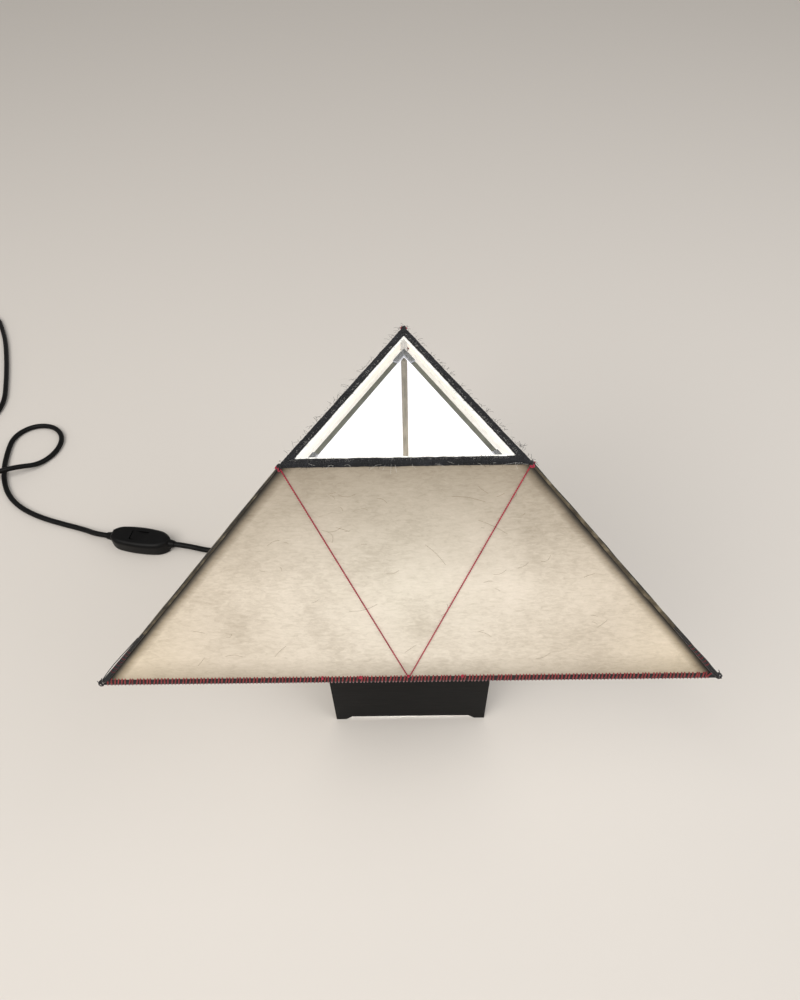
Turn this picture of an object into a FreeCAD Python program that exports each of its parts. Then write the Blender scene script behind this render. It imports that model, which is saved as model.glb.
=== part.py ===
import FreeCAD, Part

# Table lamp: a three-sided paper shade that hangs on a triangular opal column in a black base.
# Millimetres, +Z up, the table at z = 0.  Shapes are drawn about the column's axis with the
# front wall facing -Y, and each sub-part is then set so that the shade's box is centred on the
# origin.

import math
import os

import Sketcher
from FreeCAD import Placement, Rotation, Vector

doc = FreeCAD.newDocument("paper_lamp")

# ---------------------------------------------------------------- driving dimensions

DIMENSIONS = [
    ("column_side", 120.0, "outer side of the black base's triangle"),
    ("base_height", 130.0, "height of the black boards"),
    ("base_wall", 3.0, "thickness of the black boards"),
    ("foot_width", 8.0, "length of the foot left standing at each end of a board"),
    ("foot_height", 5.0, "height of the cut-out between two feet"),
    ("slip", 0.2, "play between a piece and what slides into it"),
    ("diffuser_wall", 3.0, "thickness of the opal walls"),
    ("shade_above", 8.3, "how far the paper stands above the opal walls' top edge"),
    ("rod_face", 3.6, "width of a corner rod's visible face"),
    ("rod_setback", 1.2, "how far a corner rod ends below the opal top edge"),
    ("cleat_side", 33.0, "side of a corner block's triangle"),
    ("cleat_height", 14.0, "height of a corner block"),
    ("spider_seat", 100.0, "height of the corner blocks' top above the table"),
    ("spider_thickness", 2.0, "thickness of the three-armed plate"),
    ("spider_arm", 12.0, "width of an arm of the plate"),
    ("spider_pad", 34.0, "side of the triangular pad at an arm's end"),
    ("hub_radius", 16.0, "radius of the plate's round middle"),
    ("screw_circle", 43.0, "distance of a plate screw from the column's axis"),
    ("screw_shank", 1.6, "radius of a plate screw's shank"),
    ("screw_head", 3.4, "radius of a plate screw's head"),
    ("screw_crown", 2.2, "height of a plate screw's head"),
    ("screw_length", 11.0, "length of a plate screw below its head"),
    ("nipple_radius", 5.0, "radius of the threaded tube that carries the holder"),
    ("nipple_bore", 3.6, "radius of that tube's bore"),
    ("nipple_below", 9.0, "how far the tube stands out below the plate"),
    ("nipple_above", 6.0, "how far the tube reaches into the holder"),
    ("nut_flats", 14.0, "width of the nut across its flats"),
    ("nut_height", 4.0, "height of the nut"),
    ("screwed", 0.05, "play between a thread and what is screwed on it"),
    ("holder_radius", 13.6, "outer radius of the lamp holder"),
    ("holder_wall", 1.4, "wall of the holder's cup and shell"),
    ("cup_height", 18.0, "height of the holder's lower cup"),
    ("cup_flare", 6.0, "height over which the cup widens"),
    ("cup_ledge", 1.2, "width of the ledge that carries the insulating disc"),
    ("shell_height", 30.0, "height of the holder's upper shell"),
    ("shell_mouth", 9.2, "radius of the shell's mouth"),
    ("shell_flange", 2.2, "how far the shell's ring flange stands out"),
    ("insert_height", 8.0, "thickness of the insulating disc"),
    ("sleeve_wall", 0.5, "wall of the screwed sleeve in the holder"),
    ("sleeve_height", 19.0, "height of the screwed sleeve"),
    ("contact_radius", 2.4, "radius of the contact under the bulb"),
    ("contact_height", 2.5, "height of the contact"),
    ("cap_radius", 6.9, "radius of the bulb's screw cap"),
    ("cap_height", 17.5, "height of the screw cap"),
    ("cap_chamfer", 1.2, "bevel at the cap's lower end"),
    ("tip_height", 3.0, "height of the insulated tip under the cap"),
    ("bulb_radius", 22.5, "radius of the bulb's ball"),
    ("bulb_rise", 38.0, "height of the ball's centre above the cap"),
    ("bulb_neck", 15.5, "radius at which the bulb's neck runs into the ball"),
    ("glass_wall", 0.8, "wall of the bulb's glass"),
    ("gland_height", 16.0, "height of the cord's outlet above the table"),
    ("gland_neck", 4.0, "radius of the gland where it passes the wall"),
    ("gland_nut", 3.6, "thickness of the gland's inner collar"),
    ("gland_collar", 5.5, "radius of the gland's inner collar"),
    ("gland_flange", 6.5, "radius of the gland's outer flange"),
    ("gland_rim", 2.0, "thickness of the outer flange"),
    ("gland_length", 24.0, "length of the gland outside the wall"),
    ("relief_root", 4.6, "radius of a cord relief at its root"),
    ("relief_tip", 3.4, "radius of a cord relief at its tip"),
    ("relief_groove", 0.6, "depth of the grooves between a relief's ribs"),
    ("paper", 0.5, "thickness of the laminated paper"),
    ("seam", 0.05, "glue line between paper, wire and binding"),
    ("shade_gap", 4.67, "level gap between the opal walls and the outside of the paper's top edge"),
    ("paper_top", 309.8, "height of the paper's top edge above the table"),
    ("paper_bottom_side", 339.9, "outer side of the paper's bottom edge"),
    ("paper_bottom", 199.1, "height of the paper's bottom edge above the table"),
    ("top_wire", 1.25, "radius of the top ring's wire and of the struts"),
    ("bottom_wire", 1.0, "radius of the bottom ring's wire"),
    ("lining", 0.3, "thickness of the white lining under the black band"),
    ("lining_width", 4.9, "width of the lining"),
    ("band", 0.6, "thickness of the black band"),
    ("band_width", 4.2, "width of the black band seen from above"),
    ("band_lip", 0.8, "how far the band is folded down over the paper's face"),
    ("hem_wall", 0.6, "thickness of the binding round the bottom edge"),
    ("hem_height", 2.6, "height of the binding"),
    ("thread", 0.35, "radius of the red thread"),
    ("thread_rest", 0.1, "gap between the thread and the paper's face"),
    ("thread_inset", 1.6, "distance of a thread's upper end from the panel's corner"),
    ("thread_foot_gap", 0.8, "distance of a thread's lower end from the panel's middle"),
    ("clip_arm", 13.0, "length of a hanger's arm along the opal edge"),
    ("clip_width", 3.2, "width of a hanger's arm"),
    ("clip_height", 1.2, "thickness of a hanger"),
    ("clip_tongue", 4.0, "width of the tongue that reaches out under the top ring"),
    ("clip_flat", 2.5, "length of the tongue's level end"),
    ("clip_gap", 0.2, "gap between a hanger's tongue and the ring that hangs on it"),
    ("cord", 2.6, "radius of the cord"),
    ("lie", 0.05, "gap between the table and what lies on it"),
    ("coil_pitch", 5.8, "distance from one turn of the coil to the next, and of its layers"),
    ("coil_outside", 34.0, "radius of the coil's outermost turn"),
    ("switch_half", 29.0, "half the length of the switch's housing without its nozzles"),
    ("switch_nose", 4.0, "half the width of the housing's blunt ends"),
    ("switch_shoulder", 18.0, "distance from the middle to where the housing starts to narrow"),
    ("switch_waist", 10.3, "half the width of the housing there"),
    ("switch_bow", 120.0, "radius of the housing's bowed long sides"),
    ("switch_cheek", 17.0, "radius of the housing's narrowing ends"),
    ("switch_split", 8.0, "height at which the housing's two shells meet"),
    ("switch_height", 15.0, "height of the housing"),
    ("switch_crown", 4.0, "rounding of the housing's upper edge"),
    ("switch_sole", 2.0, "rounding of the housing's lower edge"),
    ("nozzle_length", 5.0, "length of the cord nozzle at each end of the housing"),
    ("nozzle_root", 4.3, "radius of the nozzle at the housing"),
    ("nozzle_tip", 3.3, "radius of the nozzle at the cord"),
    ("rocker_half", 7.5, "half the length of the rocker"),
    ("rocker_width", 10.0, "width of the rocker"),
    ("rocker_dish", 24.0, "radius of the rocker's hollow upper face"),
    ("rocker_above", 4.4, "height of the rocker's ends above its pivot"),
    ("rocker_below", 1.6, "depth of the rocker below its pivot"),
    ("rocker_pivot", 10.8, "height of the rocker's pivot above the table"),
    ("rocker_tilt", 7.0, "slope of the rocker in either position, in degrees"),
    ("rocker_play", 0.3, "side play of the rocker in its opening"),
    ("rocker_swing", 0.9, "end play that the rocker needs to tip"),
    ("rocker_well", 2.2, "depth of the opening below the pivot"),
    ("trunnion", 1.0, "radius of the rocker's trunnions"),
    ("trunnion_reach", 1.6, "how far a trunnion reaches into the housing"),
    ("casing_screw_x", 17.0, "distance of a casing screw from the middle, along the switch"),
    ("casing_screw_y", 5.2, "distance of a casing screw from the middle, across the switch"),
    ("casing_shank", 1.2, "radius of a casing screw's shank"),
    ("casing_head", 2.3, "radius of a casing screw's head"),
    ("casing_recess", 3.0, "depth of the recess round a casing screw's head"),
    ("casing_crown", 1.8, "height of a casing screw's head"),
    ("casing_bite", 4.0, "how far a casing screw reaches into the upper shell"),
    ("plug_height", 13.7, "height of the plug's face"),
    ("plug_face", 35.0, "width of the plug's face"),
    ("plug_waist", 24.0, "width of the plug's body a third of the way to its face"),
    ("plug_rear", 11.0, "width of the plug's body at the cord"),
    ("plug_length", 36.0, "length of the plug's body"),
    ("plug_relief", 21.0, "length of the plug's tapered relief"),
    ("plug_bevel", 3.0, "bevel along the plug's edges"),
    ("pin_radius", 2.0, "radius of a plug pin"),
    ("pin_spacing", 18.6, "distance between the plug pins"),
    ("pin_length", 19.0, "length of a plug pin"),
    ("pin_round", 1.2, "rounding of a pin's end"),
]

sheet = doc.addObject("Spreadsheet::Sheet", "Sizes")
for row, (alias, number, meaning) in enumerate(DIMENSIONS, start=1):
    sheet.set("A%d" % row, meaning)
    sheet.set("B%d" % row, str(number))
    sheet.setAlias("B%d" % row, alias)
doc.recompute()


class Size:
    """A length that knows both its expression in the sheet's terms and its present value."""

    def __init__(self, text, value):
        self.text = text
        self.value = value

    @staticmethod
    def of(other):
        return other if isinstance(other, Size) else Size("%.9g" % other, float(other))

    def __add__(self, other):
        other = Size.of(other)
        return Size("(%s + %s)" % (self.text, other.text), self.value + other.value)

    def __sub__(self, other):
        other = Size.of(other)
        return Size("(%s - %s)" % (self.text, other.text), self.value - other.value)

    def __mul__(self, other):
        other = Size.of(other)
        return Size("(%s * %s)" % (self.text, other.text), self.value * other.value)

    def __truediv__(self, other):
        other = Size.of(other)
        return Size("(%s / %s)" % (self.text, other.text), self.value / other.value)

    def __neg__(self):
        return Size("(0 - %s)" % self.text, -self.value)

    def __rsub__(self, other):
        return Size.of(other) - self

    __radd__ = __add__
    __rmul__ = __mul__


def root(size):
    return Size("sqrt(%s)" % size.text, math.sqrt(size.value))


def arc_tangent(size):
    return Size("atan(%s)" % size.text, math.degrees(math.atan(size.value)))


D = {alias: Size("Sizes." + alias, sheet.get(alias)) for alias, _, _ in DIMENSIONS}
ROOT3 = Size("sqrt(3)", math.sqrt(3.0))
NIL = Size.of(0)

# ---------------------------------------------------------------- triangle geometry


def reach(side):
    """Distance from the axis to the middle of a triangle's side."""
    return side / (2 * ROOT3)


def corner(side):
    """Distance from the axis to a triangle's corner."""
    return side / ROOT3


def inset(side, depth):
    """Side of the triangle whose walls lie `depth` inside those of the given one."""
    return side - 2 * ROOT3 * depth


base_inside = inset(D["column_side"], D["base_wall"])
diffuser_outside = inset(base_inside, D["slip"])
diffuser_inside = inset(diffuser_outside, D["diffuser_wall"])
plate_top = D["spider_seat"] + D["spider_thickness"]
diffuser_top = D["paper_top"] - D["shade_above"]

paper_top_side = inset(diffuser_outside, -D["shade_gap"])
shade_drop = D["paper_top"] - D["paper_bottom"]
shade_spread = (D["paper_bottom_side"] - paper_top_side) / shade_drop
shade_run = reach(D["paper_bottom_side"]) - reach(paper_top_side)
# A thickness square to the paper, times this, is the same thickness measured level.
lean = root(shade_drop * shade_drop + shade_run * shade_run) / shade_drop


def paper_side(height):
    """Outer side of the paper's triangle at a height."""
    return paper_top_side + (D["paper_top"] - height) * shade_spread


def outside_paper(height, thickness):
    """Side of the triangle that lies a thickness outside the paper's face at a height."""
    return inset(paper_side(height), -(thickness * lean))


hem_bottom = D["paper_bottom"] - D["seam"] - D["hem_wall"]
hem_top = hem_bottom + D["hem_height"]
top_ring_height = D["paper_top"] - D["seam"] - D["top_wire"]
bottom_ring_height = D["paper_bottom"] + D["bottom_wire"]

# The hem is the object's widest part.  Its box is centred on the origin.
axis_y = -(outside_paper(hem_bottom, D["seam"] + D["hem_wall"]) / (4 * ROOT3))

WALLS = (("front", 0.0), ("right", 120.0), ("left", 240.0))
CORNERS = (("back", 0.0), ("left", 120.0), ("right", 240.0))
LEFT_WALL = 240.0

# ---------------------------------------------------------------- drawing

nodes = []


def keep(item, name):
    """Marks a document object as a finished sub-part under its own name."""
    item.Label = name
    nodes.append(item)
    return item


def set_on_axis(item, turn=0.0):
    """Puts a sub-part drawn about the column's axis in its place, turned about that axis."""
    item.Placement = Placement(Vector(0, axis_y.value, 0), Rotation(Vector(0, 0, 1), turn))
    item.setExpression("Placement.Base.y", axis_y.text)
    return item


def new_body(name, loose=False):
    """A body, which may hold several loose solids when it is a group of equal pieces."""
    body = doc.addObject("PartDesign::Body", name)
    body.AllowCompound = loose
    return body


def origin_of(body, role):
    """One of a body's own origin planes or axes."""
    return [f for f in body.Origin.OriginFeatures if f.Role == role][0]


def bind(item, name, size):
    """Gives a property its value and ties it to the sheet."""
    setattr(item, name, size.value)
    item.setExpression(name, size.text)


def new_sketch(body, name, plane="XY_Plane", at=(NIL, NIL, NIL), tilt=NIL):
    """Sketch on an origin plane of the body, moved along the page's x, y and its normal, and
    tilted about the page's x."""
    sketch = body.newObject("Sketcher::SketchObject", name)
    sketch.AttachmentSupport = [(origin_of(body, plane), "")]
    sketch.MapMode = "FlatFace"
    place = [Size.of(size) for size in at]
    sketch.AttachmentOffset = Placement(
        Vector(*[size.value for size in place]), Rotation(Vector(1, 0, 0), tilt.value)
    )
    for axis, size in zip("xyz", place):
        if size.value:
            sketch.setExpression("AttachmentOffset.Base." + axis, size.text)
    if tilt.value:
        sketch.setExpression("AttachmentOffset.Rotation.Angle", tilt.text)
    return sketch


def level(height):
    """Offset that lifts a sketch on the XY plane to a height."""
    return (NIL, NIL, height)


def pin(sketch, edge, end, x, y):
    """Ties one end of an edge to its place on the page."""
    for size, kind, axis in ((x, "DistanceX", -2), (y, "DistanceY", -1)):
        if abs(size.value) < 1e-9:
            sketch.addConstraint(Sketcher.Constraint("PointOnObject", edge, end, axis))
            continue
        made = Sketcher.Constraint(kind, -1, 1, edge, end, size.value)
        index = sketch.addConstraint(made)
        sketch.setExpression("Constraints[%d]" % index, size.text)


def hold_radius(sketch, edge, radius):
    index = sketch.addConstraint(Sketcher.Constraint("Radius", edge, radius.value))
    sketch.setExpression("Constraints[%d]" % index, radius.text)


def outline(sketch, points, arcs=None):
    """Closed outline through (x, y) points.  `arcs` gives an edge, by the index of its first
    point, a radius and the side on which it bows out: +1 to the left of its way, -1 to the
    right."""
    points = [(Size.of(x), Size.of(y)) for x, y in points]
    arcs = arcs or {}
    drawn = []
    for i, (x, y) in enumerate(points):
        next_x, next_y = points[(i + 1) % len(points)]
        a = Vector(x.value, y.value, 0)
        b = Vector(next_x.value, next_y.value, 0)
        if i not in arcs:
            edge = sketch.addGeometry(Part.LineSegment(a, b), False)
            drawn.append((edge, 1, 2))
            continue
        radius, side = arcs[i]
        half = (b - a).Length / 2
        rise = radius.value - math.sqrt(max(radius.value**2 - half**2, 0.0))
        across = Vector(a.y - b.y, b.x - a.x, 0).normalize()
        edge = sketch.addGeometry(Part.Arc(a, (a + b) / 2 + across * rise * side, b), False)
        runs_ahead = (sketch.getPoint(edge, 1) - a).Length < 1e-6
        drawn.append((edge, 1, 2) if runs_ahead else (edge, 2, 1))
    for i, (edge, _, end) in enumerate(drawn):
        next_edge, next_start, _ = drawn[(i + 1) % len(drawn)]
        sketch.addConstraint(Sketcher.Constraint("Coincident", edge, end, next_edge, next_start))
    for (edge, start, _), (x, y) in zip(drawn, points):
        pin(sketch, edge, start, x, y)
    for i, (radius, _) in arcs.items():
        hold_radius(sketch, drawn[i][0], radius)
    return sketch


def circle(sketch, x, y, radius):
    x = Size.of(x)
    y = Size.of(y)
    centre = Vector(x.value, y.value, 0)
    edge = sketch.addGeometry(Part.Circle(centre, Vector(0, 0, 1), radius.value), False)
    pin(sketch, edge, 3, x, y)
    hold_radius(sketch, edge, radius)
    return sketch


def triangle(sketch, side):
    """Triangle round the axis, one side to the front and a corner to the back."""
    return outline(
        sketch, [(-side / 2, -reach(side)), (side / 2, -reach(side)), (0, corner(side))]
    )


def strip(sketch, side, depth):
    """Mitred strip along the front side of a triangle, `depth` deep towards the axis."""
    inner = inset(side, depth)
    return outline(
        sketch,
        [
            (-side / 2, -reach(side)),
            (side / 2, -reach(side)),
            (inner / 2, -reach(inner)),
            (-inner / 2, -reach(inner)),
        ],
    )


def feature(body, kind, name):
    made = body.newObject("PartDesign::" + kind, name)
    body.Tip = made
    return made


def pad(body, sketch, length, both_ways=False):
    made = feature(body, "Pad", "Pad")
    made.Profile = sketch
    made.SideType = "Symmetric" if both_ways else "One side"
    bind(made, "Length", length)
    return made


def pocket(body, sketch, depth):
    """Pocket of a stated depth, against the sketch's normal."""
    made = feature(body, "Pocket", "Pocket")
    made.Profile = sketch
    bind(made, "Length", depth)
    return made


def cut_through(body, sketch):
    """Opening right through the body, both ways from its sketch."""
    made = feature(body, "Pocket", "Opening")
    made.Profile = sketch
    made.Type = "ThroughAll"
    made.SideType = "Symmetric"
    return made


def loft(body, sections, cut=False):
    made = feature(body, "SubtractiveLoft" if cut else "AdditiveLoft", "Loft")
    made.Profile = sections[0]
    made.Sections = sections[1:]
    made.Ruled = True
    return made


def revolve(body, sketch, axis="V_Axis", angle=360.0, reverse=False):
    made = feature(body, "Revolution", "Revolution")
    made.Profile = sketch
    made.ReferenceAxis = (sketch, [axis])
    made.Angle = angle
    made.Reversed = reverse
    return made


def repeat(body, features, count):
    """Copies features round the body's own upright axis."""
    made = feature(body, "PolarPattern", "Around")
    made.Originals = features
    made.Axis = (origin_of(body, "Z_Axis"), [""])
    made.Angle = 360.0
    made.Occurrences = count
    return made


def round_edges(body, height, radius):
    """Fillet round the flat face that lies at a height."""
    doc.recompute()
    base = body.Tip
    for index, face in enumerate(base.Shape.Faces, start=1):
        box = face.BoundBox
        if box.ZLength < 1e-4 and abs(box.ZMin - height.value) < 1e-4:
            made = feature(body, "Fillet", "Fillet")
            made.Base = (base, ["Face%d" % index])
            bind(made, "Radius", radius)


def turned(name, points, arcs=None):
    """Sub-part revolved about the column's axis from (radius, height) points."""
    body = new_body(name)
    revolve(body, outline(new_sketch(body, "section", "XZ_Plane"), points, arcs))
    return keep(set_on_axis(body), name)


def ribbed_relief(start, length, root_radius, tip_radius, ribs=4):
    """(distance, radius) points along a tapered cord relief with grooves between its ribs."""
    points = []
    pitch = length / ribs
    fall = (root_radius - tip_radius) / length
    for rib in range(ribs):
        near = pitch * rib
        far = near + pitch * 0.6
        points.append((start + near, root_radius - near * fall))
        points.append((start + far, root_radius - far * fall))
        if rib < ribs - 1:
            points.append((start + far, root_radius - far * fall - D["relief_groove"]))
            after = near + pitch
            points.append((start + after, root_radius - after * fall - D["relief_groove"]))
    points.append((start + length, tip_radius))
    return points


# ---------------------------------------------------------------- black base


def make_base_panel(wall, turn):
    """Mitred board with a trapezoid cut away at the table; the left one has the cord's hole."""
    body = new_body("base_panel_" + wall)
    pad(body, strip(new_sketch(body, "section"), D["column_side"], D["base_wall"]), D["base_height"])
    low = D["column_side"] / 2 - D["foot_width"]
    high = low - D["foot_height"]
    notch = new_sketch(body, "notch", "XZ_Plane")
    outline(
        notch,
        [
            (-low, -D["base_wall"]),
            (low, -D["base_wall"]),
            (low, 0),
            (high, D["foot_height"]),
            (-high, D["foot_height"]),
            (-low, 0),
        ],
    )
    cut_through(body, notch)
    if wall == "left":
        hole = new_sketch(body, "cord_hole", "XZ_Plane")
        circle(hole, 0, D["gland_height"], D["gland_neck"] + D["screwed"])
        cut_through(body, hole)
    keep(set_on_axis(body, turn), "base_panel_" + wall)


def make_corner_cleat(name, turn):
    """Triangular glue block that fills a corner of the base under the plate's pad."""
    body = new_body("corner_cleat_" + name)
    tip = corner(base_inside)
    face = tip - D["cleat_side"] * ROOT3 / 2
    half = D["cleat_side"] / 2
    block = new_sketch(body, "block", at=level(D["spider_seat"] - D["cleat_height"]))
    pad(body, outline(block, [(-half, face), (half, face), (0, tip)]), D["cleat_height"])
    pilot = new_sketch(body, "pilot", at=level(D["spider_seat"]))
    circle(pilot, 0, D["screw_circle"], D["screw_shank"] + D["screwed"])
    pocket(body, pilot, D["screw_length"])
    keep(set_on_axis(body, turn), "corner_cleat_" + name)


def make_spider():
    """Three-armed plate: a round middle, and an arm to a triangular pad in each corner."""
    body = new_body("holder_spider")
    middle = new_sketch(body, "middle", at=level(D["spider_seat"]))
    pad(body, circle(middle, 0, 0, D["hub_radius"]), D["spider_thickness"])
    tip = corner(diffuser_outside)
    shoulder = tip - D["spider_pad"] * ROOT3 / 2
    half_arm = D["spider_arm"] / 2
    half_pad = D["spider_pad"] / 2
    arm = new_sketch(body, "arm", at=level(D["spider_seat"]))
    outline(
        arm,
        [
            (-half_arm, D["hub_radius"] / 2),
            (half_arm, D["hub_radius"] / 2),
            (half_arm, shoulder),
            (half_pad, shoulder),
            (0, tip),
            (-half_pad, shoulder),
            (-half_arm, shoulder),
        ],
    )
    repeat(body, [pad(body, arm, D["spider_thickness"])], 3)
    hole = new_sketch(body, "screw_hole", at=level(plate_top))
    circle(hole, 0, D["screw_circle"], D["screw_shank"] + D["slip"])
    repeat(body, [pocket(body, hole, D["spider_thickness"])], 3)
    bore = new_sketch(body, "nipple_hole", at=level(plate_top))
    pocket(body, circle(bore, 0, 0, D["nipple_radius"] + D["screwed"]), D["spider_thickness"])
    keep(set_on_axis(body), "holder_spider")


def make_plate_screws():
    """Three domed screws through the plate's pads into the corner blocks."""
    body = new_body("plate_screws", loose=True)
    section = new_sketch(body, "section", "YZ_Plane", at=(D["screw_circle"], NIL, NIL))
    crown = plate_top + D["screw_crown"]
    outline(
        section,
        [
            (0, plate_top - D["screw_length"]),
            (D["screw_shank"], plate_top - D["screw_length"]),
            (D["screw_shank"], plate_top),
            (D["screw_head"], plate_top),
            (D["screw_head"] * 0.6, crown),
            (0, crown),
        ],
        arcs={3: (D["screw_head"], -1)},
    )
    repeat(body, [revolve(body, section)], 3)
    keep(set_on_axis(body), "plate_screws")


# ---------------------------------------------------------------- opal column


def make_diffuser(wall, turn):
    """Mitred opal wall that stands on the plate's pads, inside the base."""
    body = new_body("diffuser_" + wall)
    section = strip(
        new_sketch(body, "section", at=level(plate_top)), diffuser_outside, D["diffuser_wall"]
    )
    pad(body, section, diffuser_top - plate_top)
    keep(set_on_axis(body, turn), "diffuser_" + wall)


def make_corner_rod(name, turn):
    """Slim three-sided rod glued into a corner of the opal walls."""
    body = new_body("corner_rod_" + name)
    tip = corner(diffuser_inside)
    face = tip - D["rod_face"] * ROOT3 / 2
    half = D["rod_face"] / 2
    section = new_sketch(body, "section", at=level(plate_top))
    outline(section, [(-half, face), (half, face), (0, tip)])
    pad(body, section, diffuser_top - D["rod_setback"] - plate_top)
    keep(set_on_axis(body, turn), "corner_rod_" + name)


# ---------------------------------------------------------------- lamp holder and bulb

screwed_radius = D["nipple_radius"] + D["screwed"]
holder_inside = D["holder_radius"] - D["holder_wall"]
cup_top = plate_top + D["cup_height"]
insert_bottom = cup_top - D["insert_height"] / 2
insert_top = insert_bottom + D["insert_height"]
shell_top = cup_top + D["shell_height"]
contact_top = insert_top + D["contact_height"]
cap_bottom = contact_top + D["tip_height"]
cap_top = cap_bottom + D["cap_height"]


def make_nipple():
    low = D["spider_seat"] - D["nipple_below"]
    high = plate_top + D["nipple_above"]
    bore = D["nipple_bore"]
    outside = D["nipple_radius"]
    turned("nipple", [(bore, low), (outside, low), (outside, high), (bore, high)])


def make_nut():
    """Hexagon nut under the plate."""
    body = new_body("nipple_nut")
    point = D["nut_flats"] / ROOT3
    flat = D["nut_flats"] / 2
    hexagon = new_sketch(body, "hexagon", at=level(D["spider_seat"] - D["nut_height"]))
    outline(
        hexagon,
        [
            (point, 0),
            (point / 2, flat),
            (-point / 2, flat),
            (-point, 0),
            (-point / 2, -flat),
            (point / 2, -flat),
        ],
    )
    pad(body, hexagon, D["nut_height"])
    bore = circle(new_sketch(body, "bore", at=level(D["spider_seat"])), 0, 0, screwed_radius)
    pocket(body, bore, D["nut_height"])
    keep(set_on_axis(body), "nipple_nut")


def make_holder_cup():
    """Lower cup: a threaded boss, a flare, and a ledge inside for the insulating disc."""
    wall = D["holder_wall"]
    boss = screwed_radius + 3 * wall
    throat = holder_inside - D["cup_ledge"]
    turned(
        "holder_cup",
        [
            (screwed_radius, plate_top),
            (boss, plate_top),
            (D["holder_radius"], plate_top + D["cup_flare"]),
            (D["holder_radius"], cup_top),
            (holder_inside, cup_top),
            (holder_inside, insert_bottom),
            (throat, insert_bottom),
            (throat, plate_top + D["cup_flare"] + wall),
            (boss - wall, plate_top + 2 * wall),
            (screwed_radius, plate_top + 2 * wall),
        ],
    )


def make_holder_shell():
    """Upper shell with a ring flange near its top and a lip round its mouth."""
    wall = D["holder_wall"]
    flange = D["holder_radius"] + D["shell_flange"]
    turned(
        "holder_shell",
        [
            (holder_inside, cup_top),
            (D["holder_radius"], cup_top),
            (D["holder_radius"], shell_top - 3 * wall),
            (flange, shell_top - 3 * wall),
            (flange, shell_top - 2 * wall),
            (D["holder_radius"], shell_top - 2 * wall),
            (D["holder_radius"] - wall / 2, shell_top),
            (D["shell_mouth"], shell_top),
            (D["shell_mouth"], shell_top - wall),
            (holder_inside, shell_top - wall),
        ],
    )


def make_holder_insides():
    """Insulating disc, the screwed sleeve that stands on it and the contact in its middle."""
    disc = holder_inside - D["slip"]
    turned(
        "holder_insert",
        [(0, insert_bottom), (disc, insert_bottom), (disc, insert_top), (0, insert_top)],
    )
    inside = D["cap_radius"] + D["slip"]
    outside = inside + D["sleeve_wall"]
    sleeve_top = insert_top + D["sleeve_height"]
    turned(
        "socket_sleeve",
        [(inside, insert_top), (outside, insert_top), (outside, sleeve_top), (inside, sleeve_top)],
    )
    shoulder = contact_top - D["contact_height"] / 3
    turned(
        "centre_contact",
        [
            (0, insert_top),
            (D["contact_radius"], insert_top),
            (D["contact_radius"], shoulder),
            (D["contact_radius"] / 2, contact_top),
            (0, contact_top),
        ],
    )


def make_bulb():
    """Ball lamp: insulated tip, screw cap, and a hollow glass whose neck stands on the cap."""
    cap = D["cap_radius"]
    turned(
        "bulb_tip",
        [
            (0, contact_top),
            (D["contact_radius"], contact_top),
            (cap - D["cap_chamfer"], cap_bottom),
            (0, cap_bottom),
        ],
    )
    turned(
        "bulb_cap",
        [
            (0, cap_bottom),
            (cap - D["cap_chamfer"], cap_bottom),
            (cap, cap_bottom + D["cap_chamfer"]),
            (cap, cap_top),
            (0, cap_top),
        ],
    )
    ball = D["bulb_radius"]
    neck = D["bulb_neck"]
    wall = D["glass_wall"]
    centre = cap_top + D["bulb_rise"]
    inner_ball = ball - wall
    inner_neck = neck - wall
    turned(
        "bulb_glass",
        [
            (cap - 2 * wall, cap_top),
            (cap, cap_top),
            (cap + wall, cap_top + 2 * wall),
            (neck, centre - root(ball * ball - neck * neck)),
            (ball, centre),
            (0, centre + ball),
            (0, centre + inner_ball),
            (inner_ball, centre),
            (inner_neck, centre - root(inner_ball * inner_ball - inner_neck * inner_neck)),
            (cap - wall, cap_top + 2.5 * wall),
        ],
        arcs={3: (ball, -1), 4: (ball, -1), 6: (inner_ball, 1), 7: (inner_ball, 1)},
    )


# ---------------------------------------------------------------- shade


def side_of_wire(height, wire):
    """Side of a ring's centreline, where its wire touches the paper's inner face at a height."""
    return inset(paper_side(height), (D["paper"] + D["seam"] + wire) * lean)


def make_ring(name, height, wire):
    """Triangular ring of round wire with sharp mitred corners."""
    body = new_body(name)
    side = side_of_wire(height, wire)
    spine = new_sketch(body, "spine", at=level(height))
    outline(
        spine,
        [
            (0, -reach(side)),
            (side / 2, -reach(side)),
            (0, corner(side)),
            (-side / 2, -reach(side)),
        ],
    )
    section = circle(new_sketch(body, "section", "YZ_Plane"), -reach(side), height, wire)
    ring = feature(body, "AdditivePipe", "Ring")
    ring.Profile = section
    ring.Spine = (spine, ["Edge1", "Edge2", "Edge3", "Edge4"])
    ring.Transition = "Right corner"
    keep(set_on_axis(body), name)


def make_strut(name, turn):
    """Wire in a corner of the shade, from just above the bottom ring to just below the top one."""
    body = new_body("strut_" + name)
    wire = D["top_wire"]
    low = bottom_ring_height + (wire + D["bottom_wire"]) * 0.9
    high = top_ring_height - wire * 1.13
    tilt = arc_tangent(2 * shade_run / shade_drop)
    slant = root(shade_drop * shade_drop + 4 * shade_run * shade_run) / shade_drop
    foot = corner(side_of_wire(low, wire))
    section = new_sketch(body, "section", at=(NIL, foot, low), tilt=tilt)
    pad(body, circle(section, 0, 0, wire), (high - low) * slant)
    keep(set_on_axis(body, turn), "strut_" + name)


def make_paper(wall, turn):
    """Flat mitred panel of laminated paper."""
    body = new_body("paper_" + wall)
    sections = []
    for name, height in (("bottom", D["paper_bottom"]), ("top", D["paper_top"])):
        sketch = new_sketch(body, name + "_edge", at=level(height))
        sections.append(strip(sketch, paper_side(height), D["paper"] * lean))
    loft(body, sections)
    keep(set_on_axis(body, turn), "paper_" + wall)


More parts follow.
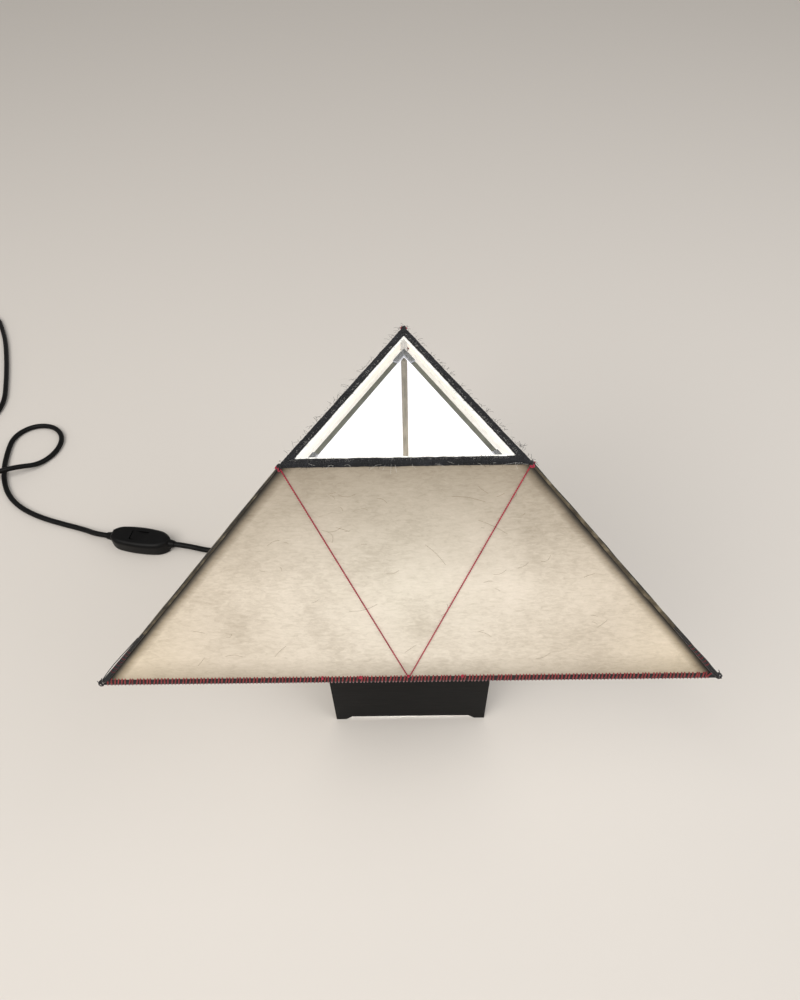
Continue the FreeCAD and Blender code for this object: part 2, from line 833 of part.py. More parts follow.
def make_top_edge():
    """White lining on the paper's top edge, and the black band glued over both."""
    body = new_body("top_lining")
    band_bottom = D["paper_top"] + D["lining"]
    outside = paper_side(band_bottom)
    pad(body, triangle(new_sketch(body, "outside", at=level(D["paper_top"])), outside), D["lining"])
    hole = new_sketch(body, "inside", at=level(band_bottom))
    cut_through(body, triangle(hole, inset(outside, D["lining_width"])))
    keep(set_on_axis(body), "top_lining")

    body = new_body("top_band")
    lip = D["paper_top"] - D["band_lip"]
    top = band_bottom + D["band"]
    cover = D["seam"] + D["band"]
    loft(
        body,
        [
            triangle(new_sketch(body, "lip_edge", at=level(lip)), outside_paper(lip, cover)),
            triangle(new_sketch(body, "top_edge", at=level(top)), outside_paper(top, cover)),
        ],
    )
    loft(
        body,
        [
            triangle(
                new_sketch(body, "under_lip", at=level(lip)), outside_paper(lip, D["seam"])
            ),
            triangle(
                new_sketch(body, "under_band", at=level(band_bottom)),
                outside_paper(band_bottom, D["seam"]),
            ),
        ],
        cut=True,
    )
    hole = new_sketch(body, "inside", at=level(top))
    cut_through(body, triangle(hole, inset(outside_paper(top, cover), D["band_width"])))
    keep(set_on_axis(body), "top_band")


def make_hem(wall, turn):
    """Mitred channel of binding round the paper's bottom edge and the bottom ring."""
    body = new_body("hem_" + wall)
    channel = 3 * D["seam"] + D["paper"] + 2 * D["bottom_wire"]
    floor = hem_bottom + D["hem_wall"]
    cover = D["seam"] + D["hem_wall"]
    outer = []
    for name, height in (("bottom", hem_bottom), ("top", hem_top)):
        sketch = new_sketch(body, name + "_outside", at=level(height))
        depth = (channel + 2 * D["hem_wall"]) * lean
        outer.append(strip(sketch, outside_paper(height, cover), depth))
    loft(body, outer)
    inner = []
    for name, height in (("floor", floor), ("top", hem_top)):
        sketch = new_sketch(body, name + "_inside", at=level(height))
        inner.append(strip(sketch, outside_paper(height, D["seam"]), channel * lean))
    loft(body, inner, cut=True)
    keep(set_on_axis(body, turn), "hem_" + wall)


def make_hanger(name, turn):
    """Clear corner clip: a V on the opal walls' top edges, and a tongue under the top ring."""
    body = new_body("hanger_" + name)
    tip = corner(diffuser_outside)
    low = diffuser_top
    arm_x = D["clip_arm"] / 2
    arm_y = tip - D["clip_arm"] * ROOT3 / 2
    vee = new_sketch(body, "vee", at=level(low))
    outline(
        vee,
        [
            (0, tip),
            (-arm_x, arm_y),
            (-arm_x + D["clip_width"] * ROOT3 / 2, arm_y - D["clip_width"] / 2),
            (0, tip - 2 * D["clip_width"]),
            (arm_x - D["clip_width"] * ROOT3 / 2, arm_y - D["clip_width"] / 2),
            (arm_x, arm_y),
        ],
    )
    pad(body, vee, D["clip_height"])
    thick = D["clip_height"]
    end_y = corner(side_of_wire(top_ring_height, D["top_wire"]))
    end_top = top_ring_height - D["top_wire"] - D["clip_gap"]
    tongue = new_sketch(body, "tongue", "YZ_Plane")
    outline(
        tongue,
        [
            (tip - D["clip_width"], low),
            (tip, low),
            (end_y - D["clip_flat"], end_top - thick),
            (end_y, end_top - thick),
            (end_y, end_top),
            (end_y - D["clip_flat"] - thick / 2, end_top),
            (tip - thick / 2, low + thick),
            (tip - D["clip_width"], low + thick),
        ],
    )
    pad(body, tongue, D["clip_tongue"], both_ways=True)
    keep(set_on_axis(body, turn), "hanger_" + name)


# ---------------------------------------------------------------- cords and threads

BEND_SHARE = 0.45  # of the shorter run beside a bend is taken up by the bend's arc


def bend(before, point, after):
    """Arc tangent to both runs at a point of a route: its start, middle and end, and radius."""
    back = before - point
    ahead = after - point
    half_turn = (math.pi - back.getAngle(ahead)) / 2
    taken = BEND_SHARE * min(back.Length, ahead.Length)
    radius = taken / math.tan(half_turn)
    back.normalize()
    ahead.normalize()
    inward = (back + ahead).normalize()
    middle = point + inward * (radius / math.cos(half_turn) - radius)
    return point + back * taken, middle, point + ahead * taken, radius


def route_wire(name, points):
    """Straight runs joined by tangent arcs."""
    edges = []
    radii = []
    place = points[0]
    for before, point, after in zip(points, points[1:], points[2:]):
        start, middle, end, radius = bend(before, point, after)
        edges.append(Part.LineSegment(place, start).toShape())
        edges.append(Part.Arc(start, middle, end).toShape())
        radii.append(radius)
        place = end
    edges.append(Part.LineSegment(place, points[-1]).toShape())
    wire = Part.Wire(edges)
    if radii:
        print("%s: length %.1f mm, bend radii %s" % (name, wire.Length, [round(r) for r in radii]))
    return wire


def sweep(name, wire, radius):
    """Round tube along a wire, checked against its section times its length."""
    first = wire.OrderedEdges[0]
    start = wire.OrderedVertexes[0].Point
    ahead = first.tangentAt(first.FirstParameter)
    if (first.valueAt(first.FirstParameter) - start).Length > 1e-6:
        ahead = first.tangentAt(first.LastParameter) * -1
    section = Part.Wire(Part.Circle(start, ahead, radius).toShape())
    solid = wire.makePipeShell([section], True, False)
    share = solid.Volume / (math.pi * radius**2 * wire.Length)
    if not solid.isValid() or abs(share - 1) > 0.01:
        raise RuntimeError("%s: the tube is not sound, volume ratio %.4f" % (name, share))
    return solid


def keep_shape(name, shape, turn=0.0):
    """Sub-part whose shape is made outright, from the sheet's values."""
    item = doc.addObject("Part::Feature", name)
    item.Shape = shape
    return keep(set_on_axis(item, turn), name)


def make_thread(wall, turn):
    """Two red threads from the panel's upper corners to the middle of its hem."""
    radius = D["thread"].value
    off_face = (D["thread"] + D["thread_rest"]) * lean
    high = D["paper_top"] - D["band_lip"] - 2 * D["thread"]
    low = hem_top + 2 * D["thread"]
    threads = []
    for hand in (-1, 1):
        top = Vector(
            hand * (paper_side(high) / 2 - D["thread_inset"]).value,
            -(reach(paper_side(high)) + off_face).value,
            high.value,
        )
        foot = Vector(
            hand * D["thread_foot_gap"].value,
            -(reach(paper_side(low)) + off_face).value,
            low.value,
        )
        threads.append(sweep("thread", route_wire("thread", [top, foot]), radius))
    keep_shape("thread_" + wall, Part.makeCompound(threads), turn)


def make_inner_lead():
    """Lead inside the base, from the gland across and up through the threaded tube."""
    inner_end = (reach(base_inside) - D["gland_nut"]).value
    low = D["gland_height"].value
    high = (plate_top + D["nipple_above"] / 2).value
    points = [
        Vector(0, -inner_end, low),
        Vector(0, -6, low),
        Vector(0, 11, 32),
        Vector(0, 8, 56),
        Vector(0, 0, 80),
        Vector(0, 0, high),
    ]
    solid = sweep("inner_lead", route_wire("inner_lead", points), D["cord"].value)
    keep_shape("inner_lead", solid, LEFT_WALL)


def make_gland():
    """Cord outlet in the left wall: inner collar, neck, outer flange and a ribbed taper."""
    body = new_body("cord_gland")
    inner_face = reach(base_inside)
    outer_face = reach(D["column_side"])
    inner_end = inner_face - D["gland_nut"]
    flange_end = outer_face + D["gland_rim"]
    taper = ribbed_relief(
        flange_end, D["gland_length"] - D["gland_rim"], D["relief_root"], D["relief_tip"]
    )
    points = [
        (inner_end, 0),
        (inner_end, D["gland_collar"]),
        (inner_face, D["gland_collar"]),
        (inner_face, D["gland_neck"]),
        (outer_face, D["gland_neck"]),
        (outer_face, D["gland_flange"]),
        (flange_end, D["gland_flange"]),
    ]
    points.extend(taper)
    points.append((outer_face + D["gland_length"], 0))
    section = new_sketch(body, "section", "YZ_Plane", at=(NIL, D["gland_height"], NIL))
    revolve(body, outline(section, [(-Size.of(y), radius) for y, radius in points]), "H_Axis")
    keep(set_on_axis(body, LEFT_WALL), "cord_gland")


# Heights of the cord's centre: lying on the table, and where it rides over itself.
on_table = (D["cord"] + D["lie"]).value
over_cord = on_table + 4 * D["cord"].value

# The switch lies askew on the table: its middle, and the direction from the lamp's side to the
# plug's side.
SWITCH_MIDDLE = Vector(-257.0, 145.0, 0)
SWITCH_ANGLE = 170.16
switch_way = Vector(
    math.cos(math.radians(SWITCH_ANGLE)), math.sin(math.radians(SWITCH_ANGLE)), 0
)
switch_reach = (D["switch_half"] + D["nozzle_length"]).value
switch_axis = Vector(0, 0, D["switch_split"].value)
switch_near = SWITCH_MIDDLE - switch_way * switch_reach + switch_axis
switch_far = SWITCH_MIDDLE + switch_way * switch_reach + switch_axis

COIL_MIDDLE = Vector(-567.0, 484.0, 0)
coil_lead = 2 * D["cord"].value
coil_entry = COIL_MIDDLE + Vector(coil_lead, D["coil_outside"].value, on_table)


def make_cord_to_switch():
    """Cord from the gland's tip down to the table and along it to the switch."""
    outlet = (reach(D["column_side"]) + D["gland_length"]).value
    left = Rotation(Vector(0, 0, 1), LEFT_WALL).multVec(Vector(0, -1, 0))
    start = left * outlet + Vector(0, 0, D["gland_height"].value)
    points = [
        start,
        start + left * 25.6,
        Vector(-98.0, 58.5, 6.0),
        Vector(-121.0, 82.0, on_table),
        Vector(-143.0, 112.0, on_table),
        Vector(-170.0, 133.0, on_table),
        Vector(-192.0, 134.6, 3.2),
        switch_near - switch_way * 14.0,
        switch_near,
    ]
    wire = route_wire("cord_to_switch", points)
    keep_shape("cord_to_switch", sweep("cord_to_switch", wire, D["cord"].value))


def make_cord_loop():
    """Cord from the switch round one open loop, over itself, and away to the coil."""
    flat = [
        (-318.0, 162.6),
        (-342.0, 170.0),
        (-369.0, 179.5),
        (-394.0, 193.5),
        (-412.5, 213.0),
        (-424.5, 240.0),
        (-429.5, 268.0),
        (-430.5, 292.4),
        (-414.4, 308.5),
        (-391.6, 308.5),
        (-375.5, 292.4),
        (-375.5, 269.6),
        (-389.0, 250.5),
    ]
    crossing = [(-406.0, 238.0), (-428.0, 230.0)]
    away = [
        (-452.0, 229.0),
        (-473.0, 241.0),
        (-486.0, 262.0),
        (-482.0, 290.0),
        (-465.0, 317.0),
        (-458.5, 346.0),
        (-468.5, 383.0),
        (-480.5, 421.0),
        (-494.0, 458.0),
        (-507.0, 484.0),
        (-519.0, 505.0),
        (-541.0, 518.0),
    ]
    points = [switch_far, switch_far + switch_way * 12.1]
    points.extend(Vector(x, y, on_table) for x, y in flat)
    points.extend(Vector(x, y, over_cord) for x, y in crossing)
    points.extend(Vector(x, y, on_table) for x, y in away)
    points.append(coil_entry)
    wire = route_wire("cord_loop", points)
    keep_shape("cord_loop", sweep("cord_loop", wire, D["cord"].value))


def biarc(start, start_way, end, end_way):
    """Two arcs that leave a point one way and reach another point the other way."""
    span = end - start
    ways = start_way + end_way
    spread = 2 * (1 - start_way.dot(end_way))
    along = span.dot(ways)
    arm = (-along + math.sqrt(along**2 + spread * span.dot(span))) / spread
    first_knee = start + start_way * arm
    last_knee = end - end_way * arm
    joint = (first_knee + last_knee) / 2
    edges = []
    for a, knee, b in ((start, first_knee, joint), (joint, last_knee, end)):
        weight = math.cos((knee - a).getAngle(b - knee) / 2)
        middle = (a + knee * (2 * weight) + b) / (2 * (1 + weight))
        edges.append(Part.Arc(a, middle, b).toShape())
    return edges


QUARTERS_IN = 8  # quarter turns of the lower layer, winding inwards
QUARTERS_UP = 2  # quarter turns in which the cord climbs to the upper layer
QUARTERS_OUT = 7  # quarter turns of the upper layer, winding outwards


def coil_station(quarter):
    """Place of the coil's centreline after so many quarter turns, and the way it runs there."""
    pitch = D["coil_pitch"].value
    slope = pitch / (2 * math.pi)
    last = QUARTERS_IN + QUARTERS_UP + QUARTERS_OUT
    turn_back = QUARTERS_IN + QUARTERS_UP / 2
    radius = D["coil_outside"].value - pitch / 4 * (turn_back - abs(quarter - turn_back))
    climbed = min(max((quarter - QUARTERS_IN) / QUARTERS_UP, 0.0), 1.0)
    outward = 0.0
    if 0 < quarter < last and quarter != turn_back:
        outward = math.copysign(slope, quarter - turn_back)
    upward = 1.5 * pitch / (QUARTERS_UP * math.pi / 2) if 0 < climbed < 1 else 0.0
    angle = math.radians(90.0 * (quarter + 1))
    out = Vector(math.cos(angle), math.sin(angle), 0)
    round_ = Vector(-math.sin(angle), math.cos(angle), 0)
    place = COIL_MIDDLE + out * radius + Vector(0, 0, on_table + pitch * climbed)
    way = round_ * radius + out * outward + Vector(0, 0, upward)
    return place, way.normalize()


def least_gap(wire, thickness):
    """Least gap of a wound tube to itself, between points more than a third of a turn apart."""
    points = wire.discretize(Distance=1.5)
    step = wire.Length / (len(points) - 1)
    apart = int(D["coil_outside"].value * 2 / step)
    gaps = [
        (a - b).Length - thickness
        for i, a in enumerate(points)
        for b in points[i + apart :]
    ]
    return min(gaps)


def make_cord_coil():
    """The rest of the cord, wound in a flat coil of two layers."""
    last = QUARTERS_IN + QUARTERS_UP + QUARTERS_OUT
    stations = [coil_station(quarter) for quarter in range(last + 1)]
    first_place, first_way = stations[0]
    last_place, last_way = stations[-1]
    edges = [Part.LineSegment(coil_entry, first_place).toShape()]
    for (start, start_way), (end, end_way) in zip(stations, stations[1:]):
        edges.extend(biarc(start, start_way, end, end_way))
    coil_exit = last_place + last_way * coil_lead
    edges.append(Part.LineSegment(last_place, coil_exit).toShape())
    wire = Part.Wire(edges)
    gap = least_gap(wire, 2 * D["cord"].value)
    print("cord_coil: length %.1f mm, least gap to itself %.2f mm" % (wire.Length, gap))
    if gap < 0.4:
        raise RuntimeError("the coil's turns are too close to each other")
    keep_shape("cord_coil", sweep("cord_coil", wire, D["cord"].value))
    return coil_exit


# The plug lies flat on the table and points away from the coil.
PLUG_TIP = Vector(-587.6, 392.2, 0)
PLUG_ANGLE = -78.5
plug_axis = D["plug_height"] / 2 + D["lie"]
plug_way = Vector(math.cos(math.radians(PLUG_ANGLE)), math.sin(math.radians(PLUG_ANGLE)), 0)


def make_cord_to_plug(coil_exit):
    """Cord from the coil down to the table and up into the plug's relief."""
    plug_entry = PLUG_TIP + Vector(0, 0, plug_axis.value)
    points = [
        coil_exit,
        coil_exit + Vector(0, -12.8, 0),
        Vector(-598.0, 444.0, on_table),
        Vector(-594.0, 420.0, on_table),
        plug_entry - plug_way * 12.0,
        plug_entry,
    ]
    wire = route_wire("cord_to_plug", points)
    keep_shape("cord_to_plug", sweep("cord_to_plug", wire, D["cord"].value))


# ---------------------------------------------------------------- switch on the cord


def set_on_cord(item, middle, angle, height=NIL, tilt=0.0):
    """Puts a sub-part drawn along its own X axis on the table, turned to the cord's way."""
    height = Size.of(height)
    turn = Rotation(Vector(0, 0, 1), angle).multiply(Rotation(Vector(0, 1, 0), tilt))
    place = middle + Vector(0, axis_y.value, height.value)
    item.Placement = Placement(place, turn)
    item.setExpression("Placement.Base.y", "%.9g + %s" % (middle.y, axis_y.text))
    if height.value:
        item.setExpression("Placement.Base.z", height.text)
    return item


def switch_outline(sketch):
    """Long housing with bowed sides that narrow to blunt ends."""
    half = D["switch_half"]
    nose = D["switch_nose"]
    shoulder = D["switch_shoulder"]
    waist = D["switch_waist"]
    cheek = (D["switch_cheek"], -1)
    bow = (D["switch_bow"], -1)
    return outline(
        sketch,
        [
            (half, -nose),
            (half, nose),
            (shoulder, waist),
            (-shoulder, waist),
            (-half, nose),
            (-half, -nose),
            (-shoulder, -waist),
            (shoulder, -waist),
        ],
        arcs={1: cheek, 2: bow, 3: cheek, 5: cheek, 6: bow, 7: cheek},
    )


def add_nozzles(body, upper):
    """Half of a tapered cord nozzle at each end of a shell."""
    root_x = D["switch_half"] - D["switch_sole"]
    section = new_sketch(body, "nozzle", at=level(D["switch_split"]))
    outline(
        section,
        [
            (root_x, 0),
            (root_x, D["nozzle_root"]),
            (D["switch_half"], D["nozzle_root"]),
            (D["switch_half"] + D["nozzle_length"], D["nozzle_tip"]),
            (D["switch_half"] + D["nozzle_length"], 0),
        ],
    )
    repeat(body, [revolve(body, section, "H_Axis", 180.0, reverse=not upper)], 2)


def make_switch_bottom():
    """Lower shell with two screw recesses underneath."""
    body = new_body("switch_bottom")
    pad(body, switch_outline(new_sketch(body, "outline")), D["switch_split"])
    round_edges(body, NIL, D["switch_sole"])
    add_nozzles(body, upper=False)
    depth = D["switch_split"] - D["casing_recess"]
    hole = new_sketch(body, "screw_hole", at=level(D["switch_split"]))
    circle(hole, D["casing_screw_x"], D["casing_screw_y"], D["casing_shank"] + D["slip"])
    repeat(body, [pocket(body, hole, depth)], 2)
    recess = new_sketch(body, "recess")
    circle(recess, D["casing_screw_x"], D["casing_screw_y"], D["casing_head"] + D["slip"])
    sunk = pocket(body, recess, D["casing_recess"])
    sunk.Reversed = True
    repeat(body, [sunk], 2)
    keep(set_on_cord(body, SWITCH_MIDDLE, SWITCH_ANGLE), "switch_bottom")


def make_switch_top():
    """Upper shell with the rocker's opening, its trunnion bores and two screw pilots."""
    body = new_body("switch_top")
    block = switch_outline(new_sketch(body, "outline", at=level(D["switch_split"])))
    pad(body, block, D["switch_height"] - D["switch_split"])
    round_edges(body, D["switch_height"], D["switch_crown"])
    add_nozzles(body, upper=True)
    half_x = D["rocker_half"] + D["rocker_swing"]
    half_y = D["rocker_width"] / 2 + D["rocker_play"]
    well = new_sketch(body, "rocker_opening", at=level(D["switch_height"]))
    outline(well, [(-half_x, -half_y), (half_x, -half_y), (half_x, half_y), (-half_x, half_y)])
    pocket(body, well, D["switch_height"] - D["rocker_pivot"] + D["rocker_well"])
    bores = new_sketch(body, "trunnion_bores", "XZ_Plane")
    circle(bores, 0, D["rocker_pivot"], D["trunnion"] + D["screwed"])
    bore_reach = D["trunnion_reach"] + D["rocker_play"] + D["slip"]
    cut = pocket(body, bores, D["rocker_width"] + 2 * bore_reach)
    cut.SideType = "Symmetric"
    pilot = new_sketch(body, "pilot", at=level(D["switch_split"]))
    circle(pilot, D["casing_screw_x"], D["casing_screw_y"], D["casing_shank"] + D["screwed"])
    drilled = pocket(body, pilot, D["casing_bite"] + D["slip"])
    drilled.Reversed = True
    repeat(body, [drilled], 2)
    keep(set_on_cord(body, SWITCH_MIDDLE, SWITCH_ANGLE), "switch_top")


def make_switch_rocker():
    """Rocker with a hollow upper face, a narrower underside and a trunnion on each side."""
    body = new_body("switch_rocker")
    half = D["rocker_half"]
    foot = half / 3
    profile = new_sketch(body, "profile", "XZ_Plane")
    outline(
        profile,
        [
            (-half, D["rocker_below"]),
            (-foot, -D["rocker_below"]),
            (foot, -D["rocker_below"]),
            (half, D["rocker_below"]),
            (half, D["rocker_above"]),
            (-half, D["rocker_above"]),
        ],
        arcs={4: (D["rocker_dish"], 1)},
    )
    pad(body, profile, D["rocker_width"], both_ways=True)
    trunnions = circle(new_sketch(body, "trunnions", "XZ_Plane"), 0, 0, D["trunnion"])
    reach_both = D["rocker_width"] + 2 * (D["rocker_play"] + D["trunnion_reach"])
    pad(body, trunnions, reach_both, both_ways=True)
    set_on_cord(
        body, SWITCH_MIDDLE, SWITCH_ANGLE, height=D["rocker_pivot"], tilt=-D["rocker_tilt"].value
    )
    keep(body, "switch_rocker")


def make_switch_screws():
    """Two screws from below that hold the shells together."""
    body = new_body("switch_screws", loose=True)
    at = (D["casing_screw_x"], NIL, -D["casing_screw_y"])
    section = new_sketch(body, "section", "XZ_Plane", at=at)
    seat = D["casing_recess"]
    outline(
        section,
        [
            (0, seat - D["casing_crown"]),
            (D["casing_head"], seat - D["casing_crown"]),
            (D["casing_head"], seat),
            (D["casing_shank"], seat),
            (D["casing_shank"], D["switch_split"] + D["casing_bite"]),
            (0, D["switch_split"] + D["casing_bite"]),
        ],
    )
    repeat(body, [revolve(body, section)], 2)
    keep(set_on_cord(body, SWITCH_MIDDLE, SWITCH_ANGLE), "switch_screws")


# ---------------------------------------------------------------- plug


def make_plug_relief():
    """Ribbed taper that leads the cord into the plug."""
    body = new_body("plug_relief")
    length = D["plug_relief"]
    taper = ribbed_relief(NIL, length, D["relief_root"], D["relief_tip"])
    points = [(length, 0)]
    points.extend((length - distance, radius) for distance, radius in taper)
    points.append((0, 0))
    revolve(body, outline(new_sketch(body, "section", "XZ_Plane"), points), "H_Axis")
    keep(set_on_cord(body, PLUG_TIP, PLUG_ANGLE, height=plug_axis), "plug_relief")


def plug_section(body, name, distance, width, height):
    """Bevelled rectangle across the plug at a distance from its relief's tip."""
    x = width / 2
    y = height / 2
    bevel = D["plug_bevel"]
    return outline(
        new_sketch(body, name, "YZ_Plane", at=(NIL, NIL, distance)),
        [
            (x, -y + bevel),
            (x, y - bevel),
            (x - bevel, y),
            (-x + bevel, y),
            (-x, y - bevel),
            (-x, -y + bevel),
            (-x + bevel, -y),
            (x - bevel, -y),
        ],
    )


def make_plug():
    """Flat two-pin plug: a body that widens to its face, and two round pins."""
    rear = D["plug_relief"]
    face = rear + D["plug_length"]
    waist = rear + D["plug_length"] * 0.4
    body = new_body("plug_body")
    tall = D["plug_height"]
    loft(
        body,
        [
            plug_section(body, "rear", rear, D["plug_rear"], tall * 0.75),
            plug_section(body, "waist", waist, D["plug_waist"], tall * 0.95),
            plug_section(body, "face", face, D["plug_face"], tall),
        ],
    )
    keep(set_on_cord(body, PLUG_TIP, PLUG_ANGLE, height=plug_axis), "plug_body")

    body = new_body("plug_pins", loose=True)
    section = new_sketch(body, "section", at=(face, D["pin_spacing"] / 2, NIL))
    flat = D["pin_length"] - D["pin_round"]
    outline(
        section,
        [
            (0, 0),
            (D["pin_length"], 0),
            (D["pin_length"], D["pin_radius"] - D["pin_round"]),
            (flat, D["pin_radius"]),
            (0, D["pin_radius"]),
        ],
        arcs={2: (D["pin_round"], -1)},
    )
    pin_feature = revolve(body, section, "H_Axis")
    pair = feature(body, "Mirrored", "Pair")
    pair.Originals = [pin_feature]
    pair.MirrorPlane = (origin_of(body, "XZ_Plane"), [""])
    keep(set_on_cord(body, PLUG_TIP, PLUG_ANGLE, height=plug_axis), "plug_pins")


# ---------------------------------------------------------------- the whole lamp


def check_document():
    """Stops when an object failed, a cut removed nothing or a sub-part is not sound."""
    doc.recompute()
    for item in doc.Objects:
        if "Invalid" in item.State or "Error" in item.State:
            raise RuntimeError("%s failed: %s" % (item.Label, item.State))
        if item.TypeId in ("PartDesign::Pocket", "PartDesign::SubtractiveLoft"):
            if item.Shape.Volume > item.BaseFeature.Shape.Volume - 0.01:
                raise RuntimeError("%s in %s cuts nothing" % (item.Label, item.getParent().Label))
    for node in nodes:
        if node.Shape.isNull() or not node.Shape.isValid() or not node.Shape.Solids:
            raise RuntimeError("%s is not sound" % node.Label)


for wall_name, wall_turn in WALLS:
    make_base_panel(wall_name, wall_turn)
    make_diffuser(wall_name, wall_turn)
    make_paper(wall_name, wall_turn)
    make_hem(wall_name, wall_turn)
    make_thread(wall_name, wall_turn)
for corner_name, corner_turn in CORNERS:
    make_corner_cleat(corner_name, corner_turn)
    make_corner_rod(corner_name, corner_turn)
    make_strut(corner_name, corner_turn)
    make_hanger(corner_name, corner_turn)
make_spider()
make_plate_screws()
make_nipple()
make_nut()
make_holder_cup()
make_holder_shell()
make_holder_insides()
make_bulb()
make_inner_lead()
make_gland()
make_ring("shade_top_ring", top_ring_height, D["top_wire"])
make_ring("shade_bottom_ring", bottom_ring_height, D["bottom_wire"])
make_top_edge()
make_cord_to_switch()
make_switch_bottom()
make_switch_top()
make_switch_rocker()
make_switch_screws()
make_cord_loop()
make_cord_to_plug(make_cord_coil())
make_plug_relief()
make_plug()

check_document()
os.makedirs("parts", exist_ok=True)
for node in nodes:
    node.Shape.exportStep("parts/%s.step" % node.Label)
    box = node.Shape.BoundBox
    print(
        "%-22s %d solid(s) %10.1f mm3  x %.1f..%.1f  y %.1f..%.1f  z %.2f..%.2f"
        % (
            node.Label,
            len(node.Shape.Solids),
            node.Shape.Volume,
            box.XMin,
            box.XMax,
            box.YMin,
            box.YMax,
            box.ZMin,
            box.ZMax,
        )
    )
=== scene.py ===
import math
import random

import bpy
from mathutils import Matrix, Vector


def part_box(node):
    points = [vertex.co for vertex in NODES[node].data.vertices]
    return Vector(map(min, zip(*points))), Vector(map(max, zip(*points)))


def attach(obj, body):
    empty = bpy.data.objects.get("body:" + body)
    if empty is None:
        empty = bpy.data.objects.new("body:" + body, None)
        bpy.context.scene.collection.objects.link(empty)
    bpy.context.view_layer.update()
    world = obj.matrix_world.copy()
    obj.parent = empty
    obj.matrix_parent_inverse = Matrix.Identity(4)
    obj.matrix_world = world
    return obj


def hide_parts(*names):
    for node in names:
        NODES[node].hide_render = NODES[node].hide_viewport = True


# Paper lamp: a three-sided paper shade hangs on a lit opal column in a black base.  Metres, +Z up.

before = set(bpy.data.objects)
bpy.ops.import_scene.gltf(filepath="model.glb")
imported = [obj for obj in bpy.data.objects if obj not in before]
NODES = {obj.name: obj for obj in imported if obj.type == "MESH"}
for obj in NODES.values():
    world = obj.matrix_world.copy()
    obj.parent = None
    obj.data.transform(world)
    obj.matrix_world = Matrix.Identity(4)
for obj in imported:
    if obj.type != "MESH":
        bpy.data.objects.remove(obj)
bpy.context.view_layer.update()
MM = 0.001

nipple_low, nipple_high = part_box("nipple")
AXIS = Vector(((nipple_low.x + nipple_high.x) / 2, (nipple_low.y + nipple_high.y) / 2, 0))
PANEL_TURNS = {"front": 0.0, "right": math.radians(120), "left": math.radians(240)}


# ---------------------------------------------------------------- tools for shapes


def deselect():
    if bpy.context.object and bpy.context.object.mode != "OBJECT":
        bpy.ops.object.mode_set(mode="OBJECT")
    bpy.ops.object.select_all(action="DESELECT")


def pick(piece):
    """Makes a piece the only selected one."""
    deselect()
    piece.select_set(True)
    bpy.context.view_layer.objects.active = piece
    return piece


def new_piece(name):
    """The primitive that was just added, under its own name."""
    piece = bpy.context.object
    piece.name = piece.data.name = name
    return piece


def settle(piece):
    """Moves a piece's place, turn and size into its mesh."""
    pick(piece)
    bpy.ops.object.transform_apply(location=True, rotation=True, scale=True)
    return piece


def finish_with(piece, kind, **settings):
    """Adds a modifier, applies it and returns the piece."""
    pick(piece)
    modifier = piece.modifiers.new(kind.title(), kind)
    for name, value in settings.items():
        setattr(modifier, name, value)
    bpy.ops.object.modifier_apply(modifier=modifier.name)
    return piece


def joined(name, parts):
    """Several meshes as one piece."""
    deselect()
    for part in parts:
        part.select_set(True)
    bpy.context.view_layer.objects.active = parts[0]
    bpy.ops.object.join()
    return new_piece(name)


def copy_of(piece, name, matrix=None):
    """A copy with its own mesh, moved by a matrix."""
    twin = bpy.data.objects.new(name, piece.data.copy())
    bpy.context.scene.collection.objects.link(twin)
    if matrix is not None:
        twin.data.transform(matrix)
    return twin


def turned(angle):
    """A turn about the column's upright axis."""
    return Matrix.Translation(AXIS) @ Matrix.Rotation(angle, 4, "Z") @ Matrix.Translation(-AXIS)


def merged_copy(node, name):
    """A copy of a CAD node's mesh with its loose triangles joined up and its flat faces whole."""
    twin = pick(copy_of(NODES[node], name))
    bpy.ops.object.mode_set(mode="EDIT")
    bpy.ops.mesh.select_all(action="SELECT")
    bpy.ops.mesh.remove_doubles(threshold=0.01 * MM)
    bpy.ops.mesh.dissolve_limited(angle_limit=math.radians(1))
    bpy.ops.object.mode_set(mode="OBJECT")
    twin.data.materials.clear()
    return twin


def smooth(piece, angle=40):
    pick(piece)
    bpy.ops.object.shade_smooth_by_angle(angle=math.radians(angle))
    return piece


def put_on(piece, body, material, slot, *nodes):
    """Gives a finished piece its material and its body, and hides the CAD nodes that it stands for.
    """
    piece.data.materials.clear()
    piece.data.materials.append(material)
    if nodes:
        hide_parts(*nodes)
    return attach(piece, body)


# ---------------------------------------------------------------- camera, floor and light

CAMERA_FROM_AXIS = Vector((1.8, -290.1, 589.0)) * MM
CAMERA_DOWN = math.radians(50.43)
CAMERA_LEFT = math.radians(-1.10)
CAMERA_ROLL = math.radians(1.7)
FOCAL_PIXELS = 756.15
PICTURE_HEIGHT = 1000
SENSOR = 36.0


